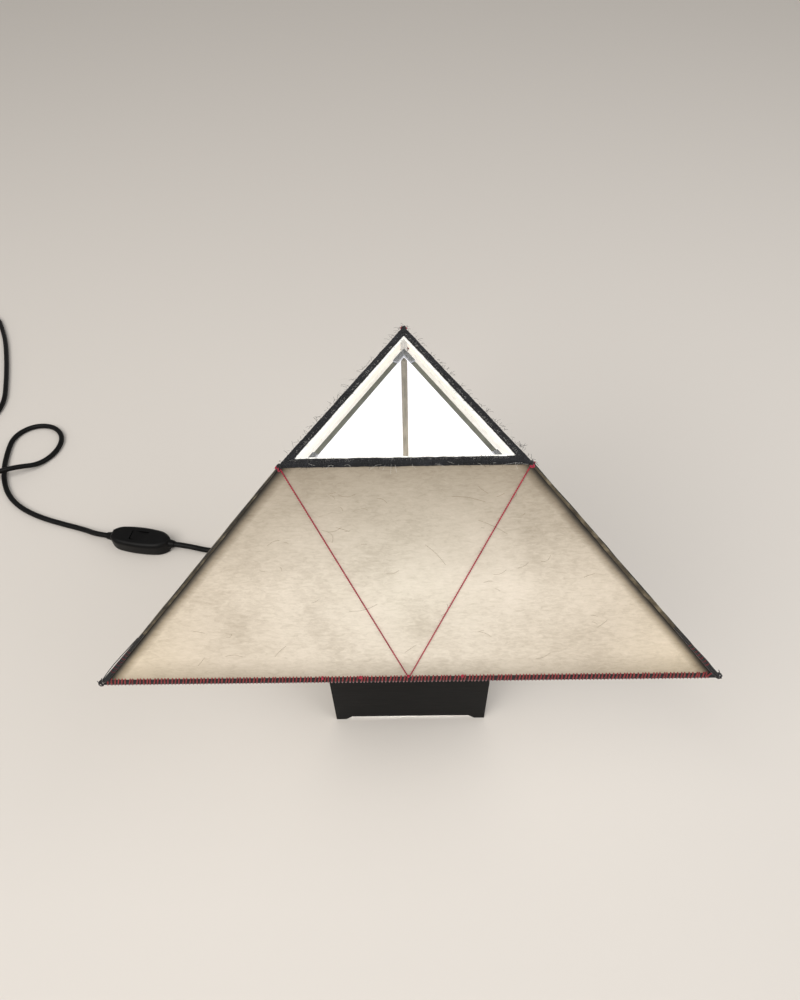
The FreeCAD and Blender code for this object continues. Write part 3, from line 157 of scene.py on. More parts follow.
def set_camera():
    ahead = Vector(
        (
            math.sin(CAMERA_LEFT) * math.cos(CAMERA_DOWN),
            math.cos(CAMERA_LEFT) * math.cos(CAMERA_DOWN),
            -math.sin(CAMERA_DOWN),
        )
    )
    level = Vector((math.cos(CAMERA_LEFT), -math.sin(CAMERA_LEFT), 0))
    up = level.cross(ahead)
    across = math.cos(CAMERA_ROLL) * level - math.sin(CAMERA_ROLL) * up
    upright = math.sin(CAMERA_ROLL) * level + math.cos(CAMERA_ROLL) * up
    camera = bpy.data.cameras.new("camera")
    camera.sensor_fit = "VERTICAL"
    camera.sensor_height = camera.sensor_width = SENSOR
    camera.lens = FOCAL_PIXELS * SENSOR / PICTURE_HEIGHT
    camera.clip_start = 0.01
    camera.clip_end = 50
    holder = bpy.data.objects.new("camera", camera)
    bpy.context.scene.collection.objects.link(holder)
    turn = Matrix((across, upright, -ahead)).transposed().to_4x4()
    holder.matrix_world = Matrix.Translation(AXIS + CAMERA_FROM_AXIS) @ turn
    bpy.context.scene.camera = holder


def hang_light(name, place, aim, size, watts, tint):
    """A square soft lamp that faces a point."""
    light = bpy.data.lights.new(name, "AREA")
    light.shape = "SQUARE"
    light.size = size
    light.energy = watts
    light.color = tint
    holder = bpy.data.objects.new(name, light)
    bpy.context.scene.collection.objects.link(holder)
    holder.location = place
    holder.rotation_euler = (Vector(aim) - Vector(place)).to_track_quat("-Z", "Y").to_euler()


# ---------------------------------------------------------------- tools for materials


def colour(hex_value):
    """Linear colour of an sRGB hex value."""
    channels = [int(hex_value[i : i + 2], 16) / 255 for i in (1, 3, 5)]
    linear = [c / 12.92 if c <= 0.04045 else ((c + 0.055) / 1.055) ** 2.4 for c in channels]
    return (*linear, 1.0)


def add(tree, kind, inputs=(), **settings):
    """Adds a node with its settings; an input takes a number, a colour or another node's output."""
    made = tree.nodes.new("ShaderNode" + kind)
    for name, value in settings.items():
        setattr(made, name, value)
    for name, value in dict(inputs).items():
        if isinstance(value, bpy.types.NodeSocket):
            tree.links.new(value, made.inputs[name])
        else:
            made.inputs[name].default_value = value
    return made


def ramp(made, *stops):
    """Sets a colour ramp's stops, each a place and a hex colour."""
    elements = made.color_ramp.elements
    while len(elements) < len(stops):
        elements.new(1.0)
    for element, (place, hex_value) in zip(elements, stops):
        element.position = place
        element.color = colour(hex_value)
    return made.outputs["Color"]


def finish(name, **values):
    """A material with one Principled shader: returns the material, its tree and that shader."""
    material = bpy.data.materials.new(name)
    material.use_nodes = True
    tree = material.node_tree
    shader = tree.nodes["Principled BSDF"]
    for socket, value in values.items():
        shader.inputs[socket.replace("_", " ")].default_value = value
    return material, tree, shader


def relief(tree, shader, height, distance, strength=1.0):
    """Bumps a surface by a height pattern, in metres from its lowest to its highest."""
    bump = add(tree, "Bump", {"Height": height, "Distance": distance, "Strength": strength})
    tree.links.new(bump.outputs["Normal"], shader.inputs["Normal"])


def place_of(tree):
    """Object coordinates, which are the frame's own metres."""
    return add(tree, "TexCoord").outputs["Object"]


def upward(tree):
    """How far a surface faces up: 1 for a floor, -1 for a ceiling."""
    normal = add(tree, "TexCoord").outputs["Normal"]
    return add(tree, "SeparateXYZ", {"Vector": normal}).outputs["Z"]


def on_panel(tree, turn):
    """Coordinates of one side of the column or shade: X along its edge, -Y outwards, Z up."""
    mapping = add(
        tree,
        "Mapping",
        {"Vector": place_of(tree), "Location": AXIS, "Rotation": (0, 0, turn)},
        vector_type="TEXTURE",
    )
    return mapping.outputs["Vector"]


# ---------------------------------------------------------------- materials


def satin_black_acrylic():
    """Black acrylic sheet with a satin face: near-black, a soft haze and faint wipe marks."""
    material, tree, shader = finish(
        "satin_black_acrylic", Roughness=0.42, IOR=1.49, Specular_IOR_Level=0.07
    )
    haze = add(tree, "TexNoise", {"Vector": place_of(tree), "Scale": 18.0, "Detail": 4.0})
    tone = ramp(
        add(tree, "ValToRGB", {"Fac": haze.outputs["Fac"]}), (0.3, "#040405"), (0.75, "#0b0b0c")
    )
    tree.links.new(tone, shader.inputs["Base Color"])
    wipes = add(
        tree,
        "Mapping",
        {"Vector": place_of(tree), "Scale": (1.0, 1.0, 9.0), "Rotation": (0.3, 0, 0.2)},
    )
    streaks = add(
        tree, "TexNoise", {"Vector": wipes.outputs["Vector"], "Scale": 60.0, "Detail": 6.0}
    )
    gloss = add(
        tree, "MapRange", {"Value": streaks.outputs["Fac"], "To Min": 0.36, "To Max": 0.5}
    )
    tree.links.new(gloss.outputs["Result"], shader.inputs["Roughness"])
    relief(tree, shader, streaks.outputs["Fac"], 0.03 * MM)
    return material


def sawn_beech():
    """Unfinished pale beech: straight fine grain with short darker flecks."""
    material, tree, shader = finish("sawn_beech", Roughness=0.62, IOR=1.5)
    along = add(tree, "Mapping", {"Vector": place_of(tree), "Scale": (9.0, 9.0, 1.0)})
    grain = add(
        tree, "TexNoise", {"Vector": along.outputs["Vector"], "Scale": 120.0, "Detail": 6.0}
    )
    tone = ramp(
        add(tree, "ValToRGB", {"Fac": grain.outputs["Fac"]}),
        (0.3, "#6b6659"),
        (0.5, "#7f7a6e"),
        (0.7, "#8f8a7c"),
    )
    tree.links.new(tone, shader.inputs["Base Color"])
    relief(tree, shader, grain.outputs["Fac"], 0.08 * MM)
    return material


def plated(name, dark, light, roughness):
    """Thin plated metal: bright with a faint cloudiness and fine turning marks."""
    material, tree, shader = finish(name, Metallic=1.0, Roughness=roughness)
    cloud = add(tree, "TexNoise", {"Vector": place_of(tree), "Scale": 240.0, "Detail": 4.0})
    tone = ramp(add(tree, "ValToRGB", {"Fac": cloud.outputs["Fac"]}), (0.3, dark), (0.7, light))
    tree.links.new(tone, shader.inputs["Base Color"])
    rough = add(
        tree,
        "MapRange",
        {"Value": cloud.outputs["Fac"], "To Min": roughness - 0.07, "To Max": roughness + 0.1},
    )
    tree.links.new(rough.outputs["Result"], shader.inputs["Roughness"])
    relief(tree, shader, cloud.outputs["Fac"], 0.02 * MM)
    return material


def opal_acrylic():
    """Milky acrylic lit from inside: brightest low down, with grey sawn edges on top."""
    material, tree, shader = finish(
        "opal_acrylic", Roughness=0.34, IOR=1.49, Emission_Strength=0.48
    )
    place = place_of(tree)
    height = add(tree, "SeparateXYZ", {"Vector": place}).outputs["Z"]
    low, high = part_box("diffuser_front")
    rise = add(
        tree, "MapRange", {"Value": height, "From Min": low.z + 0.08, "From Max": high.z}
    )
    glow = ramp(
        add(tree, "ValToRGB", {"Fac": rise.outputs["Result"]}),
        (0.0, "#ffffff"),
        (0.55, "#f6f6f8"),
        (1.0, "#e4e4ec"),
    )
    edge = add(tree, "MapRange", {"Value": upward(tree), "From Min": 0.6, "From Max": 0.9})
    dark = add(
        tree,
        "Mix",
        {"Factor": edge.outputs["Result"], "A": glow, "B": colour("#000000")},
        data_type="RGBA",
    )
    tree.links.new(dark.outputs["Result"], shader.inputs["Emission Color"])
    saw = add(tree, "TexNoise", {"Vector": place, "Scale": 130.0, "Detail": 5.0})
    edge_tone = ramp(
        add(tree, "ValToRGB", {"Fac": saw.outputs["Fac"]}), (0.3, "#5e6058"), (0.7, "#75776d")
    )
    tone = add(
        tree,
        "Mix",
        {"Factor": edge.outputs["Result"], "A": colour("#d9d9db"), "B": edge_tone},
        data_type="RGBA",
    )
    tree.links.new(tone.outputs["Result"], shader.inputs["Base Color"])
    relief(tree, shader, saw.outputs["Fac"], 0.03 * MM)
    return material


def clear_polycarbonate():
    """Clear moulded plastic clip: glassy with slightly frosted cut edges."""
    material, tree, shader = finish(
        "clear_polycarbonate",
        Base_Color=colour("#f4f6f8"),
        Roughness=0.12,
        IOR=1.58,
        Transmission_Weight=0.9,
    )
    frost = add(tree, "TexNoise", {"Vector": place_of(tree), "Scale": 300.0, "Detail": 3.0})
    rough = add(tree, "MapRange", {"Value": frost.outputs["Fac"], "To Min": 0.08, "To Max": 0.3})
    tree.links.new(rough.outputs["Result"], shader.inputs["Roughness"])
    return material


def glazed_porcelain():
    """White glazed porcelain: clean, glossy, with tiny pinholes in the glaze."""
    material, tree, shader = finish(
        "glazed_porcelain", Roughness=0.15, IOR=1.5, Coat_Weight=0.4, Coat_Roughness=0.06
    )
    pits = add(tree, "TexVoronoi", {"Vector": place_of(tree), "Scale": 500.0})
    tone = ramp(
        add(tree, "ValToRGB", {"Fac": pits.outputs["Distance"]}),
        (0.02, "#b9b3a8"),
        (0.08, "#efece5"),
    )
    tree.links.new(tone, shader.inputs["Base Color"])
    return material


def frosted_bulb_glass():
    """Bulb frosted inside and lit: a soft warm-white ball, a little dimmer towards its neck."""
    material, tree, shader = finish(
        "frosted_bulb_glass", Base_Color=colour("#f3efe8"), Roughness=0.3, Emission_Strength=3.0
    )
    low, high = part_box("bulb_glass")
    height = add(tree, "SeparateXYZ", {"Vector": place_of(tree)}).outputs["Z"]
    rise = add(tree, "MapRange", {"Value": height, "From Min": low.z, "From Max": high.z})
    glow = ramp(
        add(tree, "ValToRGB", {"Fac": rise.outputs["Result"]}), (0.0, "#c9b79c"), (0.4, "#fff4e2")
    )
    tree.links.new(glow, shader.inputs["Emission Color"])
    return material


def moulded_black(name, roughness):
    """Black moulded thermoplastic: charcoal with a fine spark-eroded grain."""
    material, tree, shader = finish(name, Roughness=roughness, IOR=1.5, Specular_IOR_Level=0.15)
    place = place_of(tree)
    grain = add(tree, "TexNoise", {"Vector": place, "Scale": 900.0, "Detail": 2.0})
    wear = add(tree, "TexNoise", {"Vector": place, "Scale": 45.0, "Detail": 5.0})
    tone = ramp(
        add(tree, "ValToRGB", {"Fac": wear.outputs["Fac"]}), (0.35, "#030303"), (0.7, "#0a0a0b")
    )
    tree.links.new(tone, shader.inputs["Base Color"])
    rough = add(
        tree,
        "MapRange",
        {"Value": wear.outputs["Fac"], "To Min": roughness - 0.06, "To Max": roughness + 0.08},
    )
    tree.links.new(rough.outputs["Result"], shader.inputs["Roughness"])
    relief(tree, shader, grain.outputs["Fac"], 0.05 * MM)
    return material


def black_pvc():
    """Black PVC cord jacket: satin, with faint extrusion lines and dust."""
    material, tree, shader = finish("black_pvc", Roughness=0.5, IOR=1.53, Specular_IOR_Level=0.15)
    place = place_of(tree)
    dust = add(tree, "TexNoise", {"Vector": place, "Scale": 160.0, "Detail": 6.0})
    tone = ramp(
        add(tree, "ValToRGB", {"Fac": dust.outputs["Fac"]}), (0.4, "#030303"), (0.8, "#0e0e0f")
    )
    tree.links.new(tone, shader.inputs["Base Color"])
    relief(tree, shader, dust.outputs["Fac"], 0.05 * MM)
    return material


def white_lining_paper():
    """Thin white lining paper lit from below: bright, fibrous, with a soft torn tooth."""
    material, tree, shader = finish("white_lining_paper", Roughness=0.9, Emission_Strength=0.3)
    fibre = add(tree, "TexNoise", {"Vector": place_of(tree), "Scale": 260.0, "Detail": 6.0})
    tone = ramp(
        add(tree, "ValToRGB", {"Fac": fibre.outputs["Fac"]}), (0.3, "#d9d8d2"), (0.6, "#f0efeb")
    )
    tree.links.new(tone, shader.inputs["Base Color"])
    glow = ramp(
        add(tree, "ValToRGB", {"Fac": fibre.outputs["Fac"]}), (0.3, "#e3e2dc"), (0.6, "#fffffb")
    )
    tree.links.new(glow, shader.inputs["Emission Color"])
    relief(tree, shader, fibre.outputs["Fac"], 0.15 * MM)
    return material


def black_felt():
    """Black wool felt: matt blue-black, matted in short wisps with greyer rubbed places."""
    material, tree, shader = finish(
        "black_felt", Roughness=0.95, Sheen_Weight=0.1, Sheen_Roughness=0.5
    )
    place = place_of(tree)
    matting = add(
        tree,
        "TexNoise",
        {"Vector": place, "Scale": 420.0, "Detail": 8.0, "Distortion": 1.2},
    )
    patches = add(tree, "TexNoise", {"Vector": place, "Scale": 55.0, "Detail": 5.0})
    mixed = add(
        tree,
        "Math",
        {0: matting.outputs["Fac"], 1: patches.outputs["Fac"]},
        operation="MULTIPLY",
    )
    tone = ramp(
        add(tree, "ValToRGB", {"Fac": mixed.outputs["Value"]}),
        (0.16, "#08090c"),
        (0.3, "#121318"),
        (0.46, "#282a30"),
    )
    tree.links.new(tone, shader.inputs["Base Color"])
    relief(tree, shader, matting.outputs["Fac"], 0.5 * MM)
    return material


def spun_cotton(name, dark, light):
    """Hard-spun sewing cotton: fine slanted fibres with a dry sheen."""
    material, tree, shader = finish(
        name, Roughness=0.7, Sheen_Weight=0.3, Sheen_Roughness=0.4
    )
    place = place_of(tree)
    shade = add(tree, "TexNoise", {"Vector": place, "Scale": 700.0, "Detail": 4.0})
    tone = ramp(add(tree, "ValToRGB", {"Fac": shade.outputs["Fac"]}), (0.3, dark), (0.7, light))
    tree.links.new(tone, shader.inputs["Base Color"])
    relief(tree, shader, shade.outputs["Fac"], 0.1 * MM)
    return material


GLOW_FORWARD = 60.0 * MM
GLOW_ABOVE_HEM = 48.0 * MM
GLOW_REACH = 160.0 * MM
WIRE_SHADOW_WIDTH = 14.0 * MM


def handmade_paper(side, turn):
    """Handmade fibre paper over a lit frame.

    The sheet is warm cream, with level laid fibres and cloudy pulp. The lamp's light is painted
    into its colour: a painted glow, brightest at its middle; painted shade, greyer under the rim
    and darker along the hem; and a soft painted shadow where the wire is glued behind it. It glows
    faintly, and its inner face glows almost white, as if lit by the column.
    """
    material, tree, shader = finish(
        "handmade_paper_" + side, Roughness=0.88
    )
    place = on_panel(tree, turn)
    parts = add(tree, "SeparateXYZ", {"Vector": place})
    across = add(tree, "Math", {0: parts.outputs["X"]}, operation="ABSOLUTE").outputs["Value"]
    height = parts.outputs["Z"]

    laid = add(tree, "Mapping", {"Vector": place, "Scale": (1.0, 2.5, 3.0)})
    fibres = add(
        tree,
        "TexNoise",
        {
            "Vector": laid.outputs["Vector"],
            "Scale": 210.0,
            "Detail": 8.0,
            "Roughness": 0.7,
            "Distortion": 0.6,
        },
    )
    pulp = add(tree, "TexNoise", {"Vector": place, "Scale": 26.0, "Detail": 7.0, "Roughness": 0.6})
    cloud = add(
        tree,
        "Mix",
        {"Factor": 0.5, "A": fibres.outputs["Fac"], "B": pulp.outputs["Fac"]},
        data_type="FLOAT",
    ).outputs["Result"]

    paper_low, paper_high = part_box("paper_front")
    # Painted glow: the sheet's colour is lightest round a point in front of the bulb and fades
    # outward from it.
    glow_middle = Vector((0.0, -GLOW_FORWARD, paper_low.z + GLOW_ABOVE_HEM))
    away = add(
        tree,
        "VectorMath",
        {0: place, 1: glow_middle},
        operation="DISTANCE",
    ).outputs["Value"]
    lit = add(tree, "MapRange", {"Value": away, "From Min": 0.0, "From Max": GLOW_REACH})
    middle = ramp(
        add(tree, "ValToRGB", {"Fac": lit.outputs["Result"]}),
        (0.0, "#d9d1c3"),
        (0.35, "#d9cfc1"),
        (0.7, "#d0c4b4"),
        (1.0, "#d1c3ae"),
    )
    # Painted shade: darker along the hem, greyer under the rim, white between.
    rise = add(
        tree,
        "MapRange",
        {"Value": height, "From Min": paper_low.z, "From Max": paper_high.z},
    )
    rim_and_hem_shade = ramp(
        add(tree, "ValToRGB", {"Fac": rise.outputs["Result"]}),
        (0.0, "#cfcdc9"),
        (0.12, "#ffffff"),
        (0.45, "#ffffff"),
        (1.0, "#b8b4ad"),
    )
    sheet = add(
        tree,
        "Mix",
        {"Factor": 1.0, "A": middle, "B": rim_and_hem_shade},
        data_type="RGBA",
        blend_type="MULTIPLY",
    ).outputs["Result"]
    mottle = ramp(
        add(tree, "ValToRGB", {"Fac": cloud}),
        (0.3, "#bdb9b0"),
        (0.52, "#ededea"),
        (0.68, "#ffffff"),
    )
    sheet = add(
        tree,
        "Mix",
        {"Factor": 0.8, "A": sheet, "B": mottle},
        data_type="RGBA",
        blend_type="MULTIPLY",
    ).outputs["Result"]

    side_low, side_high = edge_line()
    slope = (side_low - side_high) / (paper_high.z - paper_low.z)
    lean = add(
        tree,
        "Math",
        {0: height, 1: slope, 2: across},
        operation="MULTIPLY_ADD",
    ).outputs["Value"]
    from_edge = add(
        tree,
        "MapRange",
        {
            "Value": lean,
            "From Min": side_low + slope * paper_low.z,
            "From Max": side_low + slope * paper_low.z - WIRE_SHADOW_WIDTH,
        },
    ).outputs["Result"]
    ragged = add(
        tree,
        "Math",
        {0: pulp.outputs["Fac"], 1: 0.16, 2: from_edge},
        operation="MULTIPLY_ADD",
    ).outputs["Value"]
    wire_shadow = ramp(
        add(tree, "ValToRGB", {"Fac": ragged}),
        (0.13, "#262625"),
        (0.24, "#6f6d6a"),
        (0.42, "#c6c2bb"),
        (0.72, "#ffffff"),
    )
    sheet = add(
        tree,
        "Mix",
        {"Factor": 1.0, "A": sheet, "B": wire_shadow},
        data_type="RGBA",
        blend_type="MULTIPLY",
    ).outputs["Result"]
    tree.links.new(sheet, shader.inputs["Base Color"])
    # Painted glow: the outer face glows faintly in the sheet's colour, and the inner face glows
    # almost white.
    inside = add(tree, "MapRange", {"Value": upward(tree), "From Min": 0.1, "From Max": -0.1})
    glow = add(
        tree,
        "Mix",
        {"Factor": inside.outputs["Result"], "A": sheet, "B": colour("#fffdf8")},
        data_type="RGBA",
    )
    tree.links.new(glow.outputs["Result"], shader.inputs["Emission Color"])
    strength = add(
        tree, "MapRange", {"Value": inside.outputs["Result"], "To Min": 0.2, "To Max": 0.6}
    )
    tree.links.new(strength.outputs["Result"], shader.inputs["Emission Strength"])
    relief(tree, shader, fibres.outputs["Fac"], 0.35 * MM)
    return material


def edge_line():
    """Half the width of a paper panel at its bottom and at its top, in metres."""
    corners = [v.co for v in NODES["paper_front"].data.vertices]
    low = min(c.z for c in corners)
    high = max(c.z for c in corners)
    at_low = max(c.x for c in corners if c.z < low + MM)
    at_high = max(c.x for c in corners if c.z > high - MM)
    return at_low, at_high


def woven_tape():
    """Black cotton tape: matt, with a plain weave of 0.5 mm threads."""
    material, tree, shader = finish("black_cotton_tape", Roughness=0.85, Sheen_Weight=0.2)
    place = place_of(tree)
    weave = add(tree, "TexNoise", {"Vector": place, "Scale": 900.0, "Detail": 3.0})
    tone = ramp(
        add(tree, "ValToRGB", {"Fac": weave.outputs["Fac"]}), (0.35, "#0b0a0c"), (0.7, "#1f1c1e")
    )
    tree.links.new(tone, shader.inputs["Base Color"])
    relief(tree, shader, weave.outputs["Fac"], 0.15 * MM)
    return material


def loose_fibre(name, tone):
    """Single fibres, fine and matt."""
    material, tree, shader = finish(name, Roughness=0.8)
    dust = add(tree, "TexNoise", {"Vector": place_of(tree), "Scale": 200.0})
    faded = add(tree, "MapRange", {"Value": dust.outputs["Fac"], "To Min": 0.6, "To Max": 1.0})
    mixed = add(
        tree,
        "Mix",
        {"Factor": faded.outputs["Result"], "A": colour("#5f5a52"), "B": colour(tone)},
        data_type="RGBA",
    )
    tree.links.new(mixed.outputs["Result"], shader.inputs["Base Color"])
    return material


def seam_paper():
    """Glued paper edges in painted shade: olive brown to near-black, paler in random blotches."""
    material, tree, shader = finish("glued_paper_edge", Roughness=0.8)
    shade_blotches = add(tree, "TexNoise", {"Vector": place_of(tree), "Scale": 160.0, "Detail": 5.0})
    tone = ramp(
        add(tree, "ValToRGB", {"Fac": shade_blotches.outputs["Fac"]}),
        (0.3, "#2f281f"),
        (0.55, "#5a5141"),
        (0.75, "#8b8069"),
    )
    tree.links.new(tone, shader.inputs["Base Color"])
    relief(tree, shader, shade_blotches.outputs["Fac"], 0.2 * MM)
    return material


def painted_wire():
    """White-painted steel wire: off-white enamel with small chips."""
    material, tree, shader = finish("painted_wire", Roughness=0.4)
    chips = add(tree, "TexNoise", {"Vector": place_of(tree), "Scale": 130.0, "Detail": 6.0})
    tone = ramp(
        add(tree, "ValToRGB", {"Fac": chips.outputs["Fac"]}), (0.28, "#6f6c66"), (0.34, "#dcd9d2")
    )
    tree.links.new(tone, shader.inputs["Base Color"])
    return material


def pale_floor():
    """Plain pale table top."""
    material, _, shader = finish("pale_floor", Roughness=0.8)
    shader.inputs["Base Color"].default_value = colour("#d6d1cb")
    return material


# ---------------------------------------------------------------- cords

CORD_RADIUS = 2.6 * MM
ON_TABLE = 2.65
OVER_CORD = 13.05
SWITCH_MIDDLE = Vector((-257.0, 145.0, 0.0))
SWITCH_TURN = math.radians(170.16)
SWITCH_REACH = 34.0
SWITCH_HEIGHT = 8.0
switch_way = Vector((math.cos(SWITCH_TURN), math.sin(SWITCH_TURN), 0))
switch_near = SWITCH_MIDDLE - switch_way * SWITCH_REACH + Vector((0, 0, SWITCH_HEIGHT))
switch_far = SWITCH_MIDDLE + switch_way * SWITCH_REACH + Vector((0, 0, SWITCH_HEIGHT))
wall_way = Vector((-math.cos(math.radians(30)), math.sin(math.radians(30)), 0))
gland_tip = wall_way * 58.64 + Vector((0, 0, 16.0))
PLUG_TIP = Vector((-587.6, 392.2, 6.9))
PLUG_TURN = math.radians(-78.5)
plug_way = Vector((math.cos(PLUG_TURN), math.sin(PLUG_TURN), 0))

COIL_MIDDLE = Vector((-567.0, 484.0, 0.0))
COIL_OUTSIDE = 34.0
COIL_PITCH = 5.8
COIL_LEAD = 5.2
QUARTERS_IN = 8
QUARTERS_UP = 2
QUARTERS_OUT = 7
STEPS_A_QUARTER = 4

# Millimetres from the column's axis.
TO_SWITCH = [
    gland_tip,
    gland_tip + wall_way * 25.6,
    Vector((-98.0, 58.5, 6.0)),
    Vector((-121.0, 82.0, ON_TABLE)),
    Vector((-143.0, 112.0, ON_TABLE)),
    Vector((-170.0, 133.0, ON_TABLE)),
    Vector((-192.0, 134.6, 3.2)),
    switch_near - switch_way * 14.0,
    switch_near,
]
TO_COIL = [
    switch_far,
    switch_far + switch_way * 12.1,
    Vector((-318.0, 162.6, ON_TABLE)),
    Vector((-342.0, 170.0, ON_TABLE)),
    Vector((-369.0, 179.5, ON_TABLE)),
    Vector((-394.0, 193.5, ON_TABLE)),
    Vector((-412.5, 213.0, ON_TABLE)),
    Vector((-424.5, 240.0, ON_TABLE)),
    Vector((-429.5, 268.0, ON_TABLE)),
    Vector((-430.5, 292.4, ON_TABLE)),
    Vector((-414.4, 308.5, ON_TABLE)),
    Vector((-391.6, 308.5, ON_TABLE)),
    Vector((-375.5, 292.4, ON_TABLE)),
    Vector((-375.5, 269.6, ON_TABLE)),
    Vector((-389.0, 250.5, ON_TABLE)),
    Vector((-406.0, 238.0, OVER_CORD)),
    Vector((-428.0, 230.0, OVER_CORD)),
    Vector((-452.0, 229.0, ON_TABLE)),
    Vector((-473.0, 241.0, ON_TABLE)),
    Vector((-486.0, 262.0, ON_TABLE)),
    Vector((-482.0, 290.0, ON_TABLE)),
    Vector((-465.0, 317.0, ON_TABLE)),
    Vector((-458.5, 346.0, ON_TABLE)),
    Vector((-468.5, 383.0, ON_TABLE)),
    Vector((-480.5, 421.0, ON_TABLE)),
    Vector((-494.0, 458.0, ON_TABLE)),
    Vector((-507.0, 484.0, ON_TABLE)),
    Vector((-519.0, 505.0, ON_TABLE)),
    Vector((-541.0, 518.0, ON_TABLE)),
    Vector((-561.8, 518.0, ON_TABLE)),
]
TO_PLUG = [
    Vector((-598.0, 444.0, ON_TABLE)),
    Vector((-594.0, 420.0, ON_TABLE)),
    PLUG_TIP - plug_way * 12.0,
    PLUG_TIP,
]


def coil_turns():
    """Points of the flat two-layer coil: in along the table, up at the middle and out again."""
    points = []
    last = QUARTERS_IN + QUARTERS_UP + QUARTERS_OUT
    turn_back = QUARTERS_IN + QUARTERS_UP / 2
    spread = 1 / math.cos(math.radians(45 / STEPS_A_QUARTER))
    for step in range(last * STEPS_A_QUARTER):
        quarter = (step + 0.5) / STEPS_A_QUARTER
        radius = COIL_OUTSIDE - COIL_PITCH / 4 * (turn_back - abs(quarter - turn_back))
        climbed = min(max((quarter - QUARTERS_IN) / QUARTERS_UP, 0.0), 1.0)
        climbed = climbed * climbed * (3 - 2 * climbed)
        angle = math.radians(90 * (quarter + 1))
        out = Vector((math.cos(angle), math.sin(angle), 0)) * radius * spread
        points.append(COIL_MIDDLE + out + Vector((0, 0, ON_TABLE + COIL_PITCH * climbed)))
    return points


def lay_cord(name, points, material):
    """A round cord along one smooth spline."""
    line = bpy.data.curves.new(name, "CURVE")
    line.dimensions = "3D"
    line.bevel_depth = CORD_RADIUS
    line.bevel_resolution = 5
    line.resolution_u = 8
    line.use_fill_caps = True
    spline = line.splines.new("NURBS")
    spline.points.add(len(points) - 1)
    for control, point in zip(spline.points, points):
        control.co = (*(AXIS + point * MM), 1.0)
    spline.order_u = 3
    spline.use_endpoint_u = True
    piece = bpy.data.objects.new(name, line)
    bpy.context.scene.collection.objects.link(piece)
    line.materials.append(material)
    return piece


def make_cords(jacket):
    near = lay_cord("flex_to_switch", TO_SWITCH, jacket)
    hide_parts("cord_to_switch")
    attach(near, "base")
    coil_exit = COIL_MIDDLE + Vector((-32.55, -COIL_LEAD, ON_TABLE + COIL_PITCH))
    route = TO_COIL + coil_turns() + [coil_exit, coil_exit + Vector((0, -12.8, 0))] + TO_PLUG
    far = lay_cord("flex_to_plug", route, jacket)
    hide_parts("cord_loop", "cord_coil", "cord_to_plug")
    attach(far, "base")


# ---------------------------------------------------------------- thread, felt and fibres


def strands(name, lines, radius, sides=4, closed=False, smoothness=3):
    """Thin round strands, each along one smooth line, as one mesh."""
    data = bpy.data.curves.new(name, "CURVE")
    data.dimensions = "3D"
    data.bevel_depth = radius
    data.bevel_resolution = (sides - 4) // 2
    data.resolution_u = smoothness
    data.use_fill_caps = not closed
    for line in lines:
        spline = data.splines.new("NURBS")
        spline.points.add(len(line) - 1)
        for control, point in zip(spline.points, line):
            control.co = (*point, 1.0)
        spline.order_u = 3
        spline.use_endpoint_u = not closed
        spline.use_cyclic_u = closed
    made = bpy.data.objects.new(name, data)
    bpy.context.scene.collection.objects.link(made)
    pick(made)
    bpy.ops.object.convert(target="MESH")
    bpy.ops.object.shade_smooth()
    return new_piece(name)


def on_every_side(piece, names, material, slot, nodes=()):
    """Copies a piece made on the shade's front panel to the other two, and finishes all three."""
    for side, turn in PANEL_TURNS.items():
        twin = copy_of(piece, names + side, turned(turn))
        put_on(twin, "shade", material, slot, *[n + side for n in nodes])
    bpy.data.objects.remove(piece)


hem_low, hem_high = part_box("hem_front")
paper_box_low, paper_box_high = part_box("paper_front")
rim_low, rim_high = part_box("top_band")
HALF_LOW, HALF_HIGH = edge_line()
FACE_LOW_Y = paper_box_low.y
FACE_HIGH_Y = AXIS.y - HALF_HIGH / math.sqrt(3)
face_rise = paper_box_high.z - paper_box_low.z
FACE_UP = Vector((0, FACE_HIGH_Y - FACE_LOW_Y, face_rise)).normalized()
FACE_OUT = Vector((0, -FACE_UP.z, FACE_UP.y))


def on_face(across, height, off=0.0):
    """Point on the front panel: metres from its middle line, height above the table, and off it."""
    share = (height - paper_box_low.z) / face_rise
    y = FACE_LOW_Y + (FACE_HIGH_Y - FACE_LOW_Y) * share
    return Vector((across, y, height)) + FACE_OUT * off


def make_bindings(tape):
    """Black tape folded round the hem, its edges rounded by pressing."""
    piece = merged_copy("hem_front", "binding")
    finish_with(piece, "BEVEL", width=0.45 * MM, segments=3, limit_method="ANGLE")
    smooth(piece, 50)
    on_every_side(piece, "binding_", tape, "black_felt", ["hem_"])


STITCH_PITCH = 2.0 * MM
STITCH_THREAD = 0.42 * MM
STITCH_END = 3.0 * MM


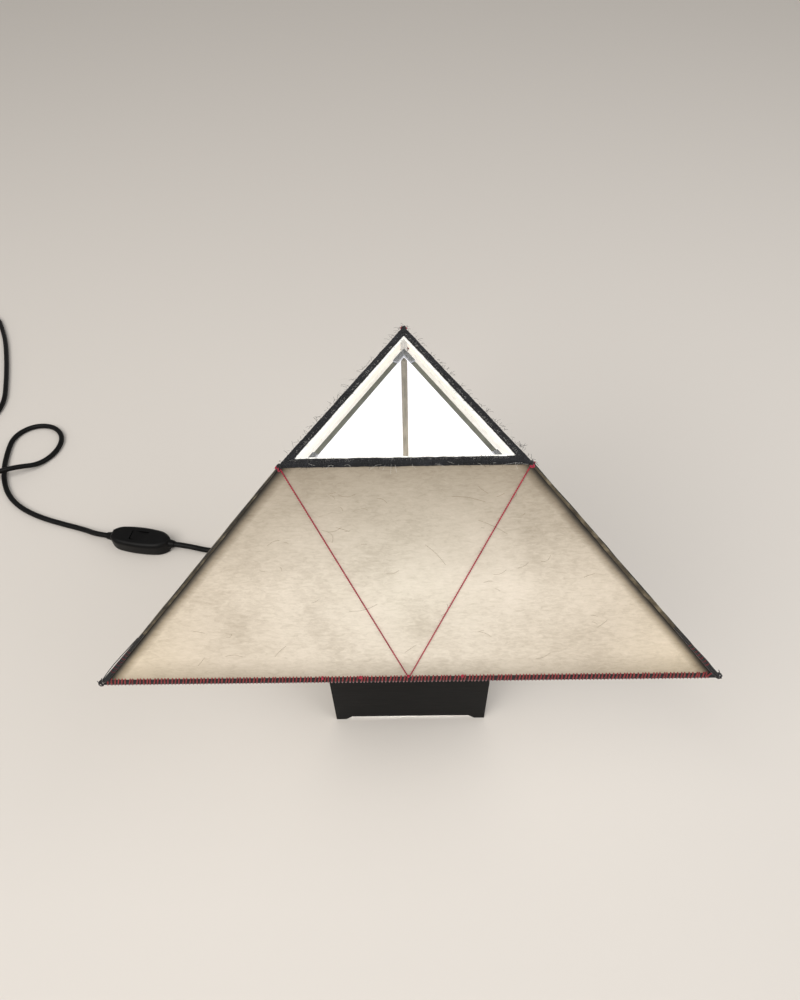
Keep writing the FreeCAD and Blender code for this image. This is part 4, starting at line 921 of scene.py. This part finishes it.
def make_whip_stitches(thread):
    """Red whip stitches over the hem: one loop, repeated, each a little uneven."""
    chance = random.Random(7)
    start = -(hem_high.x - STITCH_END)
    count = int(2 * (hem_high.x - STITCH_END) / STITCH_PITCH)
    out = 0.22 * MM
    lean = (hem_high.z - hem_low.z) * FACE_UP.y / FACE_UP.z
    depth = hem_high.y - hem_low.y - lean
    corners = [
        (hem_low.y - out, hem_low.z - out),
        (hem_low.y + lean - out, hem_high.z + out),
        (hem_high.y + out, hem_high.z + out),
        (hem_low.y + depth + out, hem_low.z - out),
    ]
    ring = []
    for (y, z), (next_y, next_z) in zip(corners, corners[1:] + corners[:1]):
        for share in (0.12, 0.88):
            height = z + (next_z - z) * share
            slant = 0.3 * STITCH_PITCH * (height - hem_low.z) / (hem_high.z - hem_low.z)
            ring.append(Vector((start + slant, y + (next_y - y) * share, height)))
    loop = strands("stitch", [ring], STITCH_THREAD, sides=6, closed=True, smoothness=1)
    per_loop = len(loop.data.vertices)
    finish_with(
        loop,
        "ARRAY",
        count=count,
        use_relative_offset=False,
        use_constant_offset=True,
        constant_offset_displace=(STITCH_PITCH, 0, 0),
    )
    points = loop.data.vertices
    for first in range(0, len(points), per_loop):
        shift = chance.uniform(-0.25, 0.25) * MM
        skew = chance.uniform(-0.15, 0.15)
        for i in range(first, first + per_loop):
            points[i].co.x += shift + skew * (points[i].co.z - hem_low.z)
    on_every_side(loop, "whip_stitches_", thread, "red_thread")


# Height above the table and distance behind the paper's face, in millimetres.
FACING_ROWS = [(198.6, 4.1), (201.0, 4.1), (205.0, 3.2), (211.0, 0.9)]
FACING_THICKNESS = 0.3 * MM
FACING_END = 9.0 * MM


def make_hem_facings(paper):
    """White paper glued inside over the hem's stitches, bent along its rows."""
    rows = len(FACING_ROWS)
    bpy.ops.mesh.primitive_grid_add(x_subdivisions=1, y_subdivisions=rows - 1, size=1.0)
    strip = new_piece("facing")
    for vertex in strip.data.vertices:
        height, behind = FACING_ROWS[round((vertex.co.y + 0.5) * (rows - 1))]
        place = on_face(0, height * MM, -behind * MM)
        inwards = (height * MM - paper_box_low.z) * FACE_UP.y / FACE_UP.z
        half = HALF_LOW - inwards * math.sqrt(3)
        place.x = math.copysign(half - FACING_END, vertex.co.x)
        vertex.co = place
    finish_with(strip, "SOLIDIFY", thickness=FACING_THICKNESS, offset=0.0)
    on_every_side(strip, "hem_facing_", paper, "white_paper")


def knot(middle, size, turns, chance):
    """Lines of a small overhand knot: crossed loops about one point."""
    lines = []
    for _ in range(turns):
        tilt = Matrix.Rotation(chance.uniform(0, math.pi), 3, "X") @ Matrix.Rotation(
            chance.uniform(0, math.pi), 3, "Y"
        )
        radius = size * chance.uniform(0.75, 1.1)
        lines.append(
            [
                middle + tilt @ Vector((math.cos(a), math.sin(a), 0.25 * math.sin(2 * a))) * radius
                for a in [math.radians(45 * k) for k in range(8)]
            ]
        )
    return lines


TWIST_LAY = 2.4 * MM
PLY_RADIUS = 0.24 * MM
KNOT_THREAD = 0.3 * MM
TIE_PLACES = (-48 * MM, -27 * MM, 30 * MM)


def make_red_threads(thread):
    """Two-ply red thread in a V on each panel, tied at the rim's corners and at the hem."""
    cad = [v.co for v in NODES["thread_front"].data.vertices if v.co.x > 0]
    top_z = max(c.z for c in cad)
    foot_z = min(c.z for c in cad)
    ends = []
    for z in (top_z, foot_z):
        near = [c for c in cad if abs(c.z - z) < 1.2 * MM]
        ends.append(sum(near, Vector()) / len(near))
    top, foot = ends
    length = (top - foot).length
    turns = int(length / TWIST_LAY)
    bpy.ops.mesh.primitive_circle_add(
        vertices=6,
        radius=PLY_RADIUS,
        location=(PLY_RADIUS * 0.9, 0, 0),
        rotation=(math.pi / 2, 0, 0),
    )
    strand = settle(new_piece("ply"))
    finish_with(
        strand,
        "SCREW",
        screw_offset=length / turns,
        iterations=turns,
        steps=9,
        render_steps=9,
        use_merge_vertices=False,
    )
    second = copy_of(strand, "second_ply", Matrix.Rotation(math.pi, 4, "Z"))
    twist = joined("twist", [strand, second])
    bpy.ops.object.mode_set(mode="EDIT")
    bpy.ops.mesh.select_all(action="SELECT")
    bpy.ops.mesh.fill_holes(sides=0)
    bpy.ops.mesh.normals_make_consistent(inside=False)
    bpy.ops.object.mode_set(mode="OBJECT")
    bpy.ops.object.shade_smooth()
    chance = random.Random(11)
    legs = []
    for hand in (-1, 1):
        a = Vector((foot.x * hand, foot.y, foot.z))
        b = Vector((top.x * hand, top.y, top.z))
        turn = (b - a).to_track_quat("Z", "Y").to_matrix().to_4x4()
        legs.append(copy_of(twist, "leg", Matrix.Translation(a) @ turn))
    bpy.data.objects.remove(twist)
    knots = []
    for hand in (-1, 1):
        corner = Vector((top.x * hand, top.y, top.z))
        beside_rim = corner + Vector((hand * 0.9 * MM, 0, 0.2 * MM))
        knots += knot(beside_rim, 1.0 * MM, 3, chance)
    hem_top = Vector((0, foot.y, foot.z - 0.6 * MM))
    knots += knot(hem_top, 0.9 * MM, 3, chance)
    for across in TIE_PLACES:
        knots += knot(on_face(across, hem_high.z, 0.9 * MM), 0.8 * MM, 2, chance)
    legs.append(strands("knots", knots, KNOT_THREAD, sides=6, closed=True, smoothness=2))
    on_every_side(joined("v", legs), "red_v_", thread, "red_thread", ["thread_"])


def make_felt_band(felt):
    """Felt strip glued over the rim: soft edges, slightly lumpy, matted with short wisps."""
    band = merged_copy("top_band", "felt_band")
    finish_with(band, "REMESH", mode="VOXEL", voxel_size=0.36 * MM)
    finish_with(band, "SMOOTH", factor=0.5, iterations=4)
    for size, depth in ((7.0, 0.5), (1.6, 0.3)):
        lumps = bpy.data.textures.new("lumps", "CLOUDS")
        lumps.noise_scale = size * MM
        finish_with(
            band,
            "DISPLACE",
            texture=lumps,
            texture_coords="GLOBAL",
            strength=depth * MM,
            mid_level=0.5,
        )
    smooth(band, 80)
    put_on(band, "shade", felt, "black_felt", "top_band")


def rim_point(share, inwards):
    """Point on top of the band: its share of the way round, and metres in from the edge."""
    side = share * 3 % 3
    which = int(side)
    along = side - which
    turn = turned(list(PANEL_TURNS.values())[which])
    half = rim_high.x - math.sqrt(3) * inwards
    y = rim_low.y + inwards
    return turn @ Vector((-half + 2 * half * along, y, rim_high.z)), turn.to_3x3()


def wisps(chance, count, inwards, reach, lift, side_way):
    """Lines of short curved fibres that start on the rim and lie mostly to one side."""
    lines = []
    for _ in range(count):
        start, turn = rim_point(chance.random(), chance.uniform(*inwards) * MM)
        length = chance.uniform(*reach) * MM
        level = Vector((chance.uniform(-1, 1), side_way * chance.uniform(0.1, 1), 0))
        way = turn @ level.normalized()
        curl = turn @ Vector((chance.uniform(-0.5, 0.5), chance.uniform(-0.5, 0.5), 0))
        rise = chance.uniform(*lift)
        line = [start + Vector((0, 0, -0.1 * MM))]
        for step in (0.35, 0.7, 1.0):
            line.append(
                start
                + way * length * step
                + curl * length * step * step
                + Vector((0, 0, rise * length * step * (1.3 - step)))
            )
        lines.append(line)
    return lines


LINING_FIBRE = 0.03 * MM
FELT_FIBRE = 0.07 * MM
STRAY_HAIR = 0.045 * MM


def make_fuzz(felt_fibre, white_fibre):
    """Loose fibres: white ones from the lining over the band's inner edge, dark ones round it."""
    chance = random.Random(23)
    white = wisps(chance, 500, (3.9, 4.6), (0.4, 1.7), (0.05, 0.3), -1)
    lining = strands("lining_fibres", white, LINING_FIBRE, smoothness=1)
    put_on(lining, "shade", white_fibre, "white_paper")
    dark = wisps(chance, 620, (0.3, 3.9), (1.0, 3.4), (0.1, 0.5), 1)
    dark += wisps(chance, 240, (0.0, 0.4), (0.8, 3.0), (0.0, 0.6), -1)
    felt = strands("felt_fibres", dark, FELT_FIBRE, smoothness=1)
    put_on(felt, "shade", felt_fibre, "black_felt")
    stray = wisps(chance, 60, (0.0, 0.3), (2.5, 6.0), (0.1, 0.8), -1)
    hairs = strands("stray_hairs", stray, STRAY_HAIR, smoothness=2)
    put_on(hairs, "shade", white_fibre, "white_paper")


def make_bark_curls(bark):
    """Curled bark fibres that show in the paper's face."""
    chance = random.Random(31)
    for side, turn in PANEL_TURNS.items():
        lines = []
        for _ in range(46):
            height = chance.uniform(paper_box_low.z + 8 * MM, paper_box_high.z - 10 * MM)
            share = (height - paper_box_low.z) / face_rise
            half = HALF_LOW + (HALF_HIGH - HALF_LOW) * share - 10 * MM
            across = chance.uniform(-half, half)
            length = chance.choice((2.5, 4.0, 6.0, 9.0, 15.0)) * MM * chance.uniform(0.7, 1.2)
            heading = chance.gauss(0, 0.35)
            bend = chance.uniform(-0.5, 0.5)
            line = []
            for _ in range(5):
                line.append(turned(turn) @ on_face(across, height, 0.02 * MM))
                across += math.cos(heading) * length / 4
                height += math.sin(heading) * length / 4 * FACE_UP.z
                heading += bend
            lines.append(line)
        curls = strands("bark_curls_" + side, lines, 0.08 * MM, smoothness=2)
        put_on(curls, "shade", bark, "shade_paper")


SEAM_SIZE = (2.2 * MM, 0.7 * MM)
FINE_THREAD = 0.24 * MM
WRAP_THREAD = 0.34 * MM
WRAP_TURNS = 44
# In millimetres: the wrap's pitch, and the loose thread's heights and how far it stands off.
WRAP_PITCH = 0.9
LOOSE_BOWS = ((-1.0, 0.6), (4.0, 1.2), (12.0, 1.7), (20.0, 1.3), (28.0, 0.7), (36.0, 0.1))
# The corner at the right-hand end of each panel, seen from outside.
CORNERS = {"front": "right", "right": "back", "left": "left"}


def make_corner_seams(glued_edge, black_thread, red_thread):
    """The papers' glued edges at each slanted corner: a narrow fin, bound with thread."""
    low = Vector((HALF_LOW, FACE_LOW_Y, paper_box_low.z + 1.5 * MM))
    high = Vector((HALF_HIGH, FACE_HIGH_Y, paper_box_high.z - 1.0 * MM))
    up = (high - low).normalized()
    outward = Vector((math.cos(math.radians(30)), -math.sin(math.radians(30)), 0))
    outward = (outward - up * outward.dot(up)).normalized()
    across = up.cross(outward)
    frame_turn = Matrix((outward, across, up)).transposed().to_4x4()
    length = (high - low).length
    bpy.ops.mesh.primitive_cube_add(size=1.0)
    fin = new_piece("fin")
    fin.data.transform(Matrix.Diagonal((*SEAM_SIZE, length, 1.0)))
    fin.data.transform(Matrix.Translation((0.5 * MM, 0, length / 2)))
    pick(fin)
    bpy.ops.object.mode_set(mode="EDIT")
    bpy.ops.mesh.select_all(action="SELECT")
    bpy.ops.mesh.subdivide(number_cuts=1)
    bpy.ops.object.mode_set(mode="OBJECT")
    finish_with(fin, "SUBSURF", levels=4, render_levels=4, subdivision_type="SIMPLE")
    waves = bpy.data.textures.new("waves", "CLOUDS")
    waves.noise_scale = 14 * MM
    for direction, depth in (("X", 1.2), ("Y", 0.5)):
        finish_with(
            fin,
            "DISPLACE",
            texture=waves,
            texture_coords="LOCAL",
            direction=direction,
            strength=depth * MM,
        )
    fin.data.transform(Matrix.Translation(low) @ frame_turn)
    smooth(fin, 60)
    chance = random.Random(5)
    place = Matrix.Translation(low) @ frame_turn

    def beside(out, side, height):
        return place @ (Vector((out, side, height)) * MM)

    wire = [
        beside(
            1.5 + chance.uniform(-0.2, 0.2),
            0.4 + chance.uniform(-0.15, 0.15),
            k * length / MM / 24,
        )
        for k in range(25)
    ]
    loose = [beside(1.4 + bow, -0.5, height) for height, bow in LOOSE_BOWS]
    black = [wire, loose]
    coils = []
    red_coils = []
    for k in range(WRAP_TURNS):
        height = 0.8 + k * WRAP_PITCH
        slack = 1.0 - 0.45 * k / WRAP_TURNS
        ring = [
            beside(
                0.6 + 1.7 * slack * math.cos(a),
                slack * math.sin(a),
                height + 0.25 * math.cos(a),
            )
            for a in [math.radians(60 * n) for n in range(6)]
        ]
        (red_coils if 8 < k < 30 and k % 3 == 0 else coils).append(ring)
    knots = knot(beside(1.6, 0, -1.2), 1.7 * MM, 5, chance)
    knots += knot(beside(0.9, 0, length / MM + 0.2), 1.2 * MM, 4, chance)
    tails = [
        [beside(1.6, 0.2, -1.0), beside(3.4, 0.8, 0.4), beside(4.2, 0.3, 3.0)],
        [beside(1.6, -0.2, -1.4), beside(3.0, -0.9, -2.2), beside(3.6, -1.6, -1.6)],
    ]
    bound = joined(
        "bound",
        [
            strands("open", black + tails, FINE_THREAD, sides=6, smoothness=3),
            strands("coils", coils + knots, WRAP_THREAD, sides=6, closed=True, smoothness=1),
        ],
    )
    red = strands("red_coils", red_coils, WRAP_THREAD, sides=6, closed=True, smoothness=1)
    for side, turn in PANEL_TURNS.items():
        corner = CORNERS[side]
        twin = copy_of(fin, "corner_fin_" + corner, turned(turn))
        put_on(twin, "shade", glued_edge, "shade_paper")
        twin = copy_of(bound, "corner_binding_" + corner, turned(turn))
        put_on(twin, "shade", black_thread, "black_felt")
        twin = copy_of(red, "corner_red_thread_" + corner, turned(turn))
        put_on(twin, "shade", red_thread, "red_thread")
    for piece in (fin, bound, red):
        bpy.data.objects.remove(piece)


# ---------------------------------------------------------------- the scene

bpy.context.scene.view_settings.view_transform = "Standard"
set_camera()
bpy.ops.mesh.primitive_plane_add(size=30.0, location=(0, 0, -0.0002))
floor = new_piece("floor")
settle(floor)
floor.data.materials.append(pale_floor())

world = bpy.data.worlds.new("room")
bpy.context.scene.world = world
world.use_nodes = True
world.node_tree.nodes["Background"].inputs["Color"].default_value = colour("#e6e3df")
world.node_tree.nodes["Background"].inputs["Strength"].default_value = 0.6
hang_light("key", (-0.9, -0.9, 1.7), (0, 0, 0.15), 1.4, 27.0, (1.0, 0.97, 0.93))
hang_light("fill", (1.2, -0.4, 1.3), (0, 0, 0.15), 1.4, 12.0, (0.95, 0.97, 1.0))
UNDER_PLATE = AXIS + Vector((0, 0, 80.0)) * MM
hang_light("lamp_light_in_base", UNDER_PLATE, AXIS, 0.05, 0.1, (1.0, 0.98, 0.94))

FINISHES = {
    "black_board": satin_black_acrylic(),
    "pale_wood": sawn_beech(),
    "plated_steel": plated("zinc_plated_steel", "#8f9193", "#b9bbbd", 0.34),
    "nickel_brass": plated("nickel_plated_brass", "#a89f86", "#cfc6ac", 0.28),
    "bulb_metal": plated("bulb_cap_aluminium", "#a3a19b", "#c9c7c1", 0.36),
    "opal_acrylic": opal_acrylic(),
    "clear_plastic": clear_polycarbonate(),
    "porcelain": glazed_porcelain(),
    "black_glass": moulded_black("black_glass", 0.2),
    "frosted_glass": frosted_bulb_glass(),
    "black_pvc": black_pvc(),
    "black_thermoplastic": moulded_black("black_thermoplastic", 0.42),
    "shade_wire": painted_wire(),
    "white_paper": white_lining_paper(),
    "black_felt": black_felt(),
    "red_thread": spun_cotton("crimson_cotton", "#86102c", "#c01c40"),
}

for node_name, node in NODES.items():
    slots = node.data.materials
    if node_name.startswith("paper_"):
        side = node_name.split("_")[1]
        slots[0] = handmade_paper(side, PANEL_TURNS[side])
    else:
        slots[0] = FINISHES[slots[0].name]

make_cords(FINISHES["black_pvc"])
red_cotton = FINISHES["red_thread"]
black_cotton = spun_cotton("black_cotton", "#08080a", "#1c1c20")
make_bindings(woven_tape())
make_whip_stitches(spun_cotton("dull_red_cotton", "#5a1418", "#9c3033"))
make_hem_facings(FINISHES["white_paper"])
make_red_threads(red_cotton)
make_felt_band(FINISHES["black_felt"])
make_fuzz(black_cotton, loose_fibre("white_lint", "#d8d7d1"))
make_bark_curls(loose_fibre("bark_fibre", "#8c7b60"))
dark_red_cotton = spun_cotton("dark_red_cotton", "#3c0d12", "#7c1c26")
make_corner_seams(seam_paper(), black_cotton, dark_red_cotton)
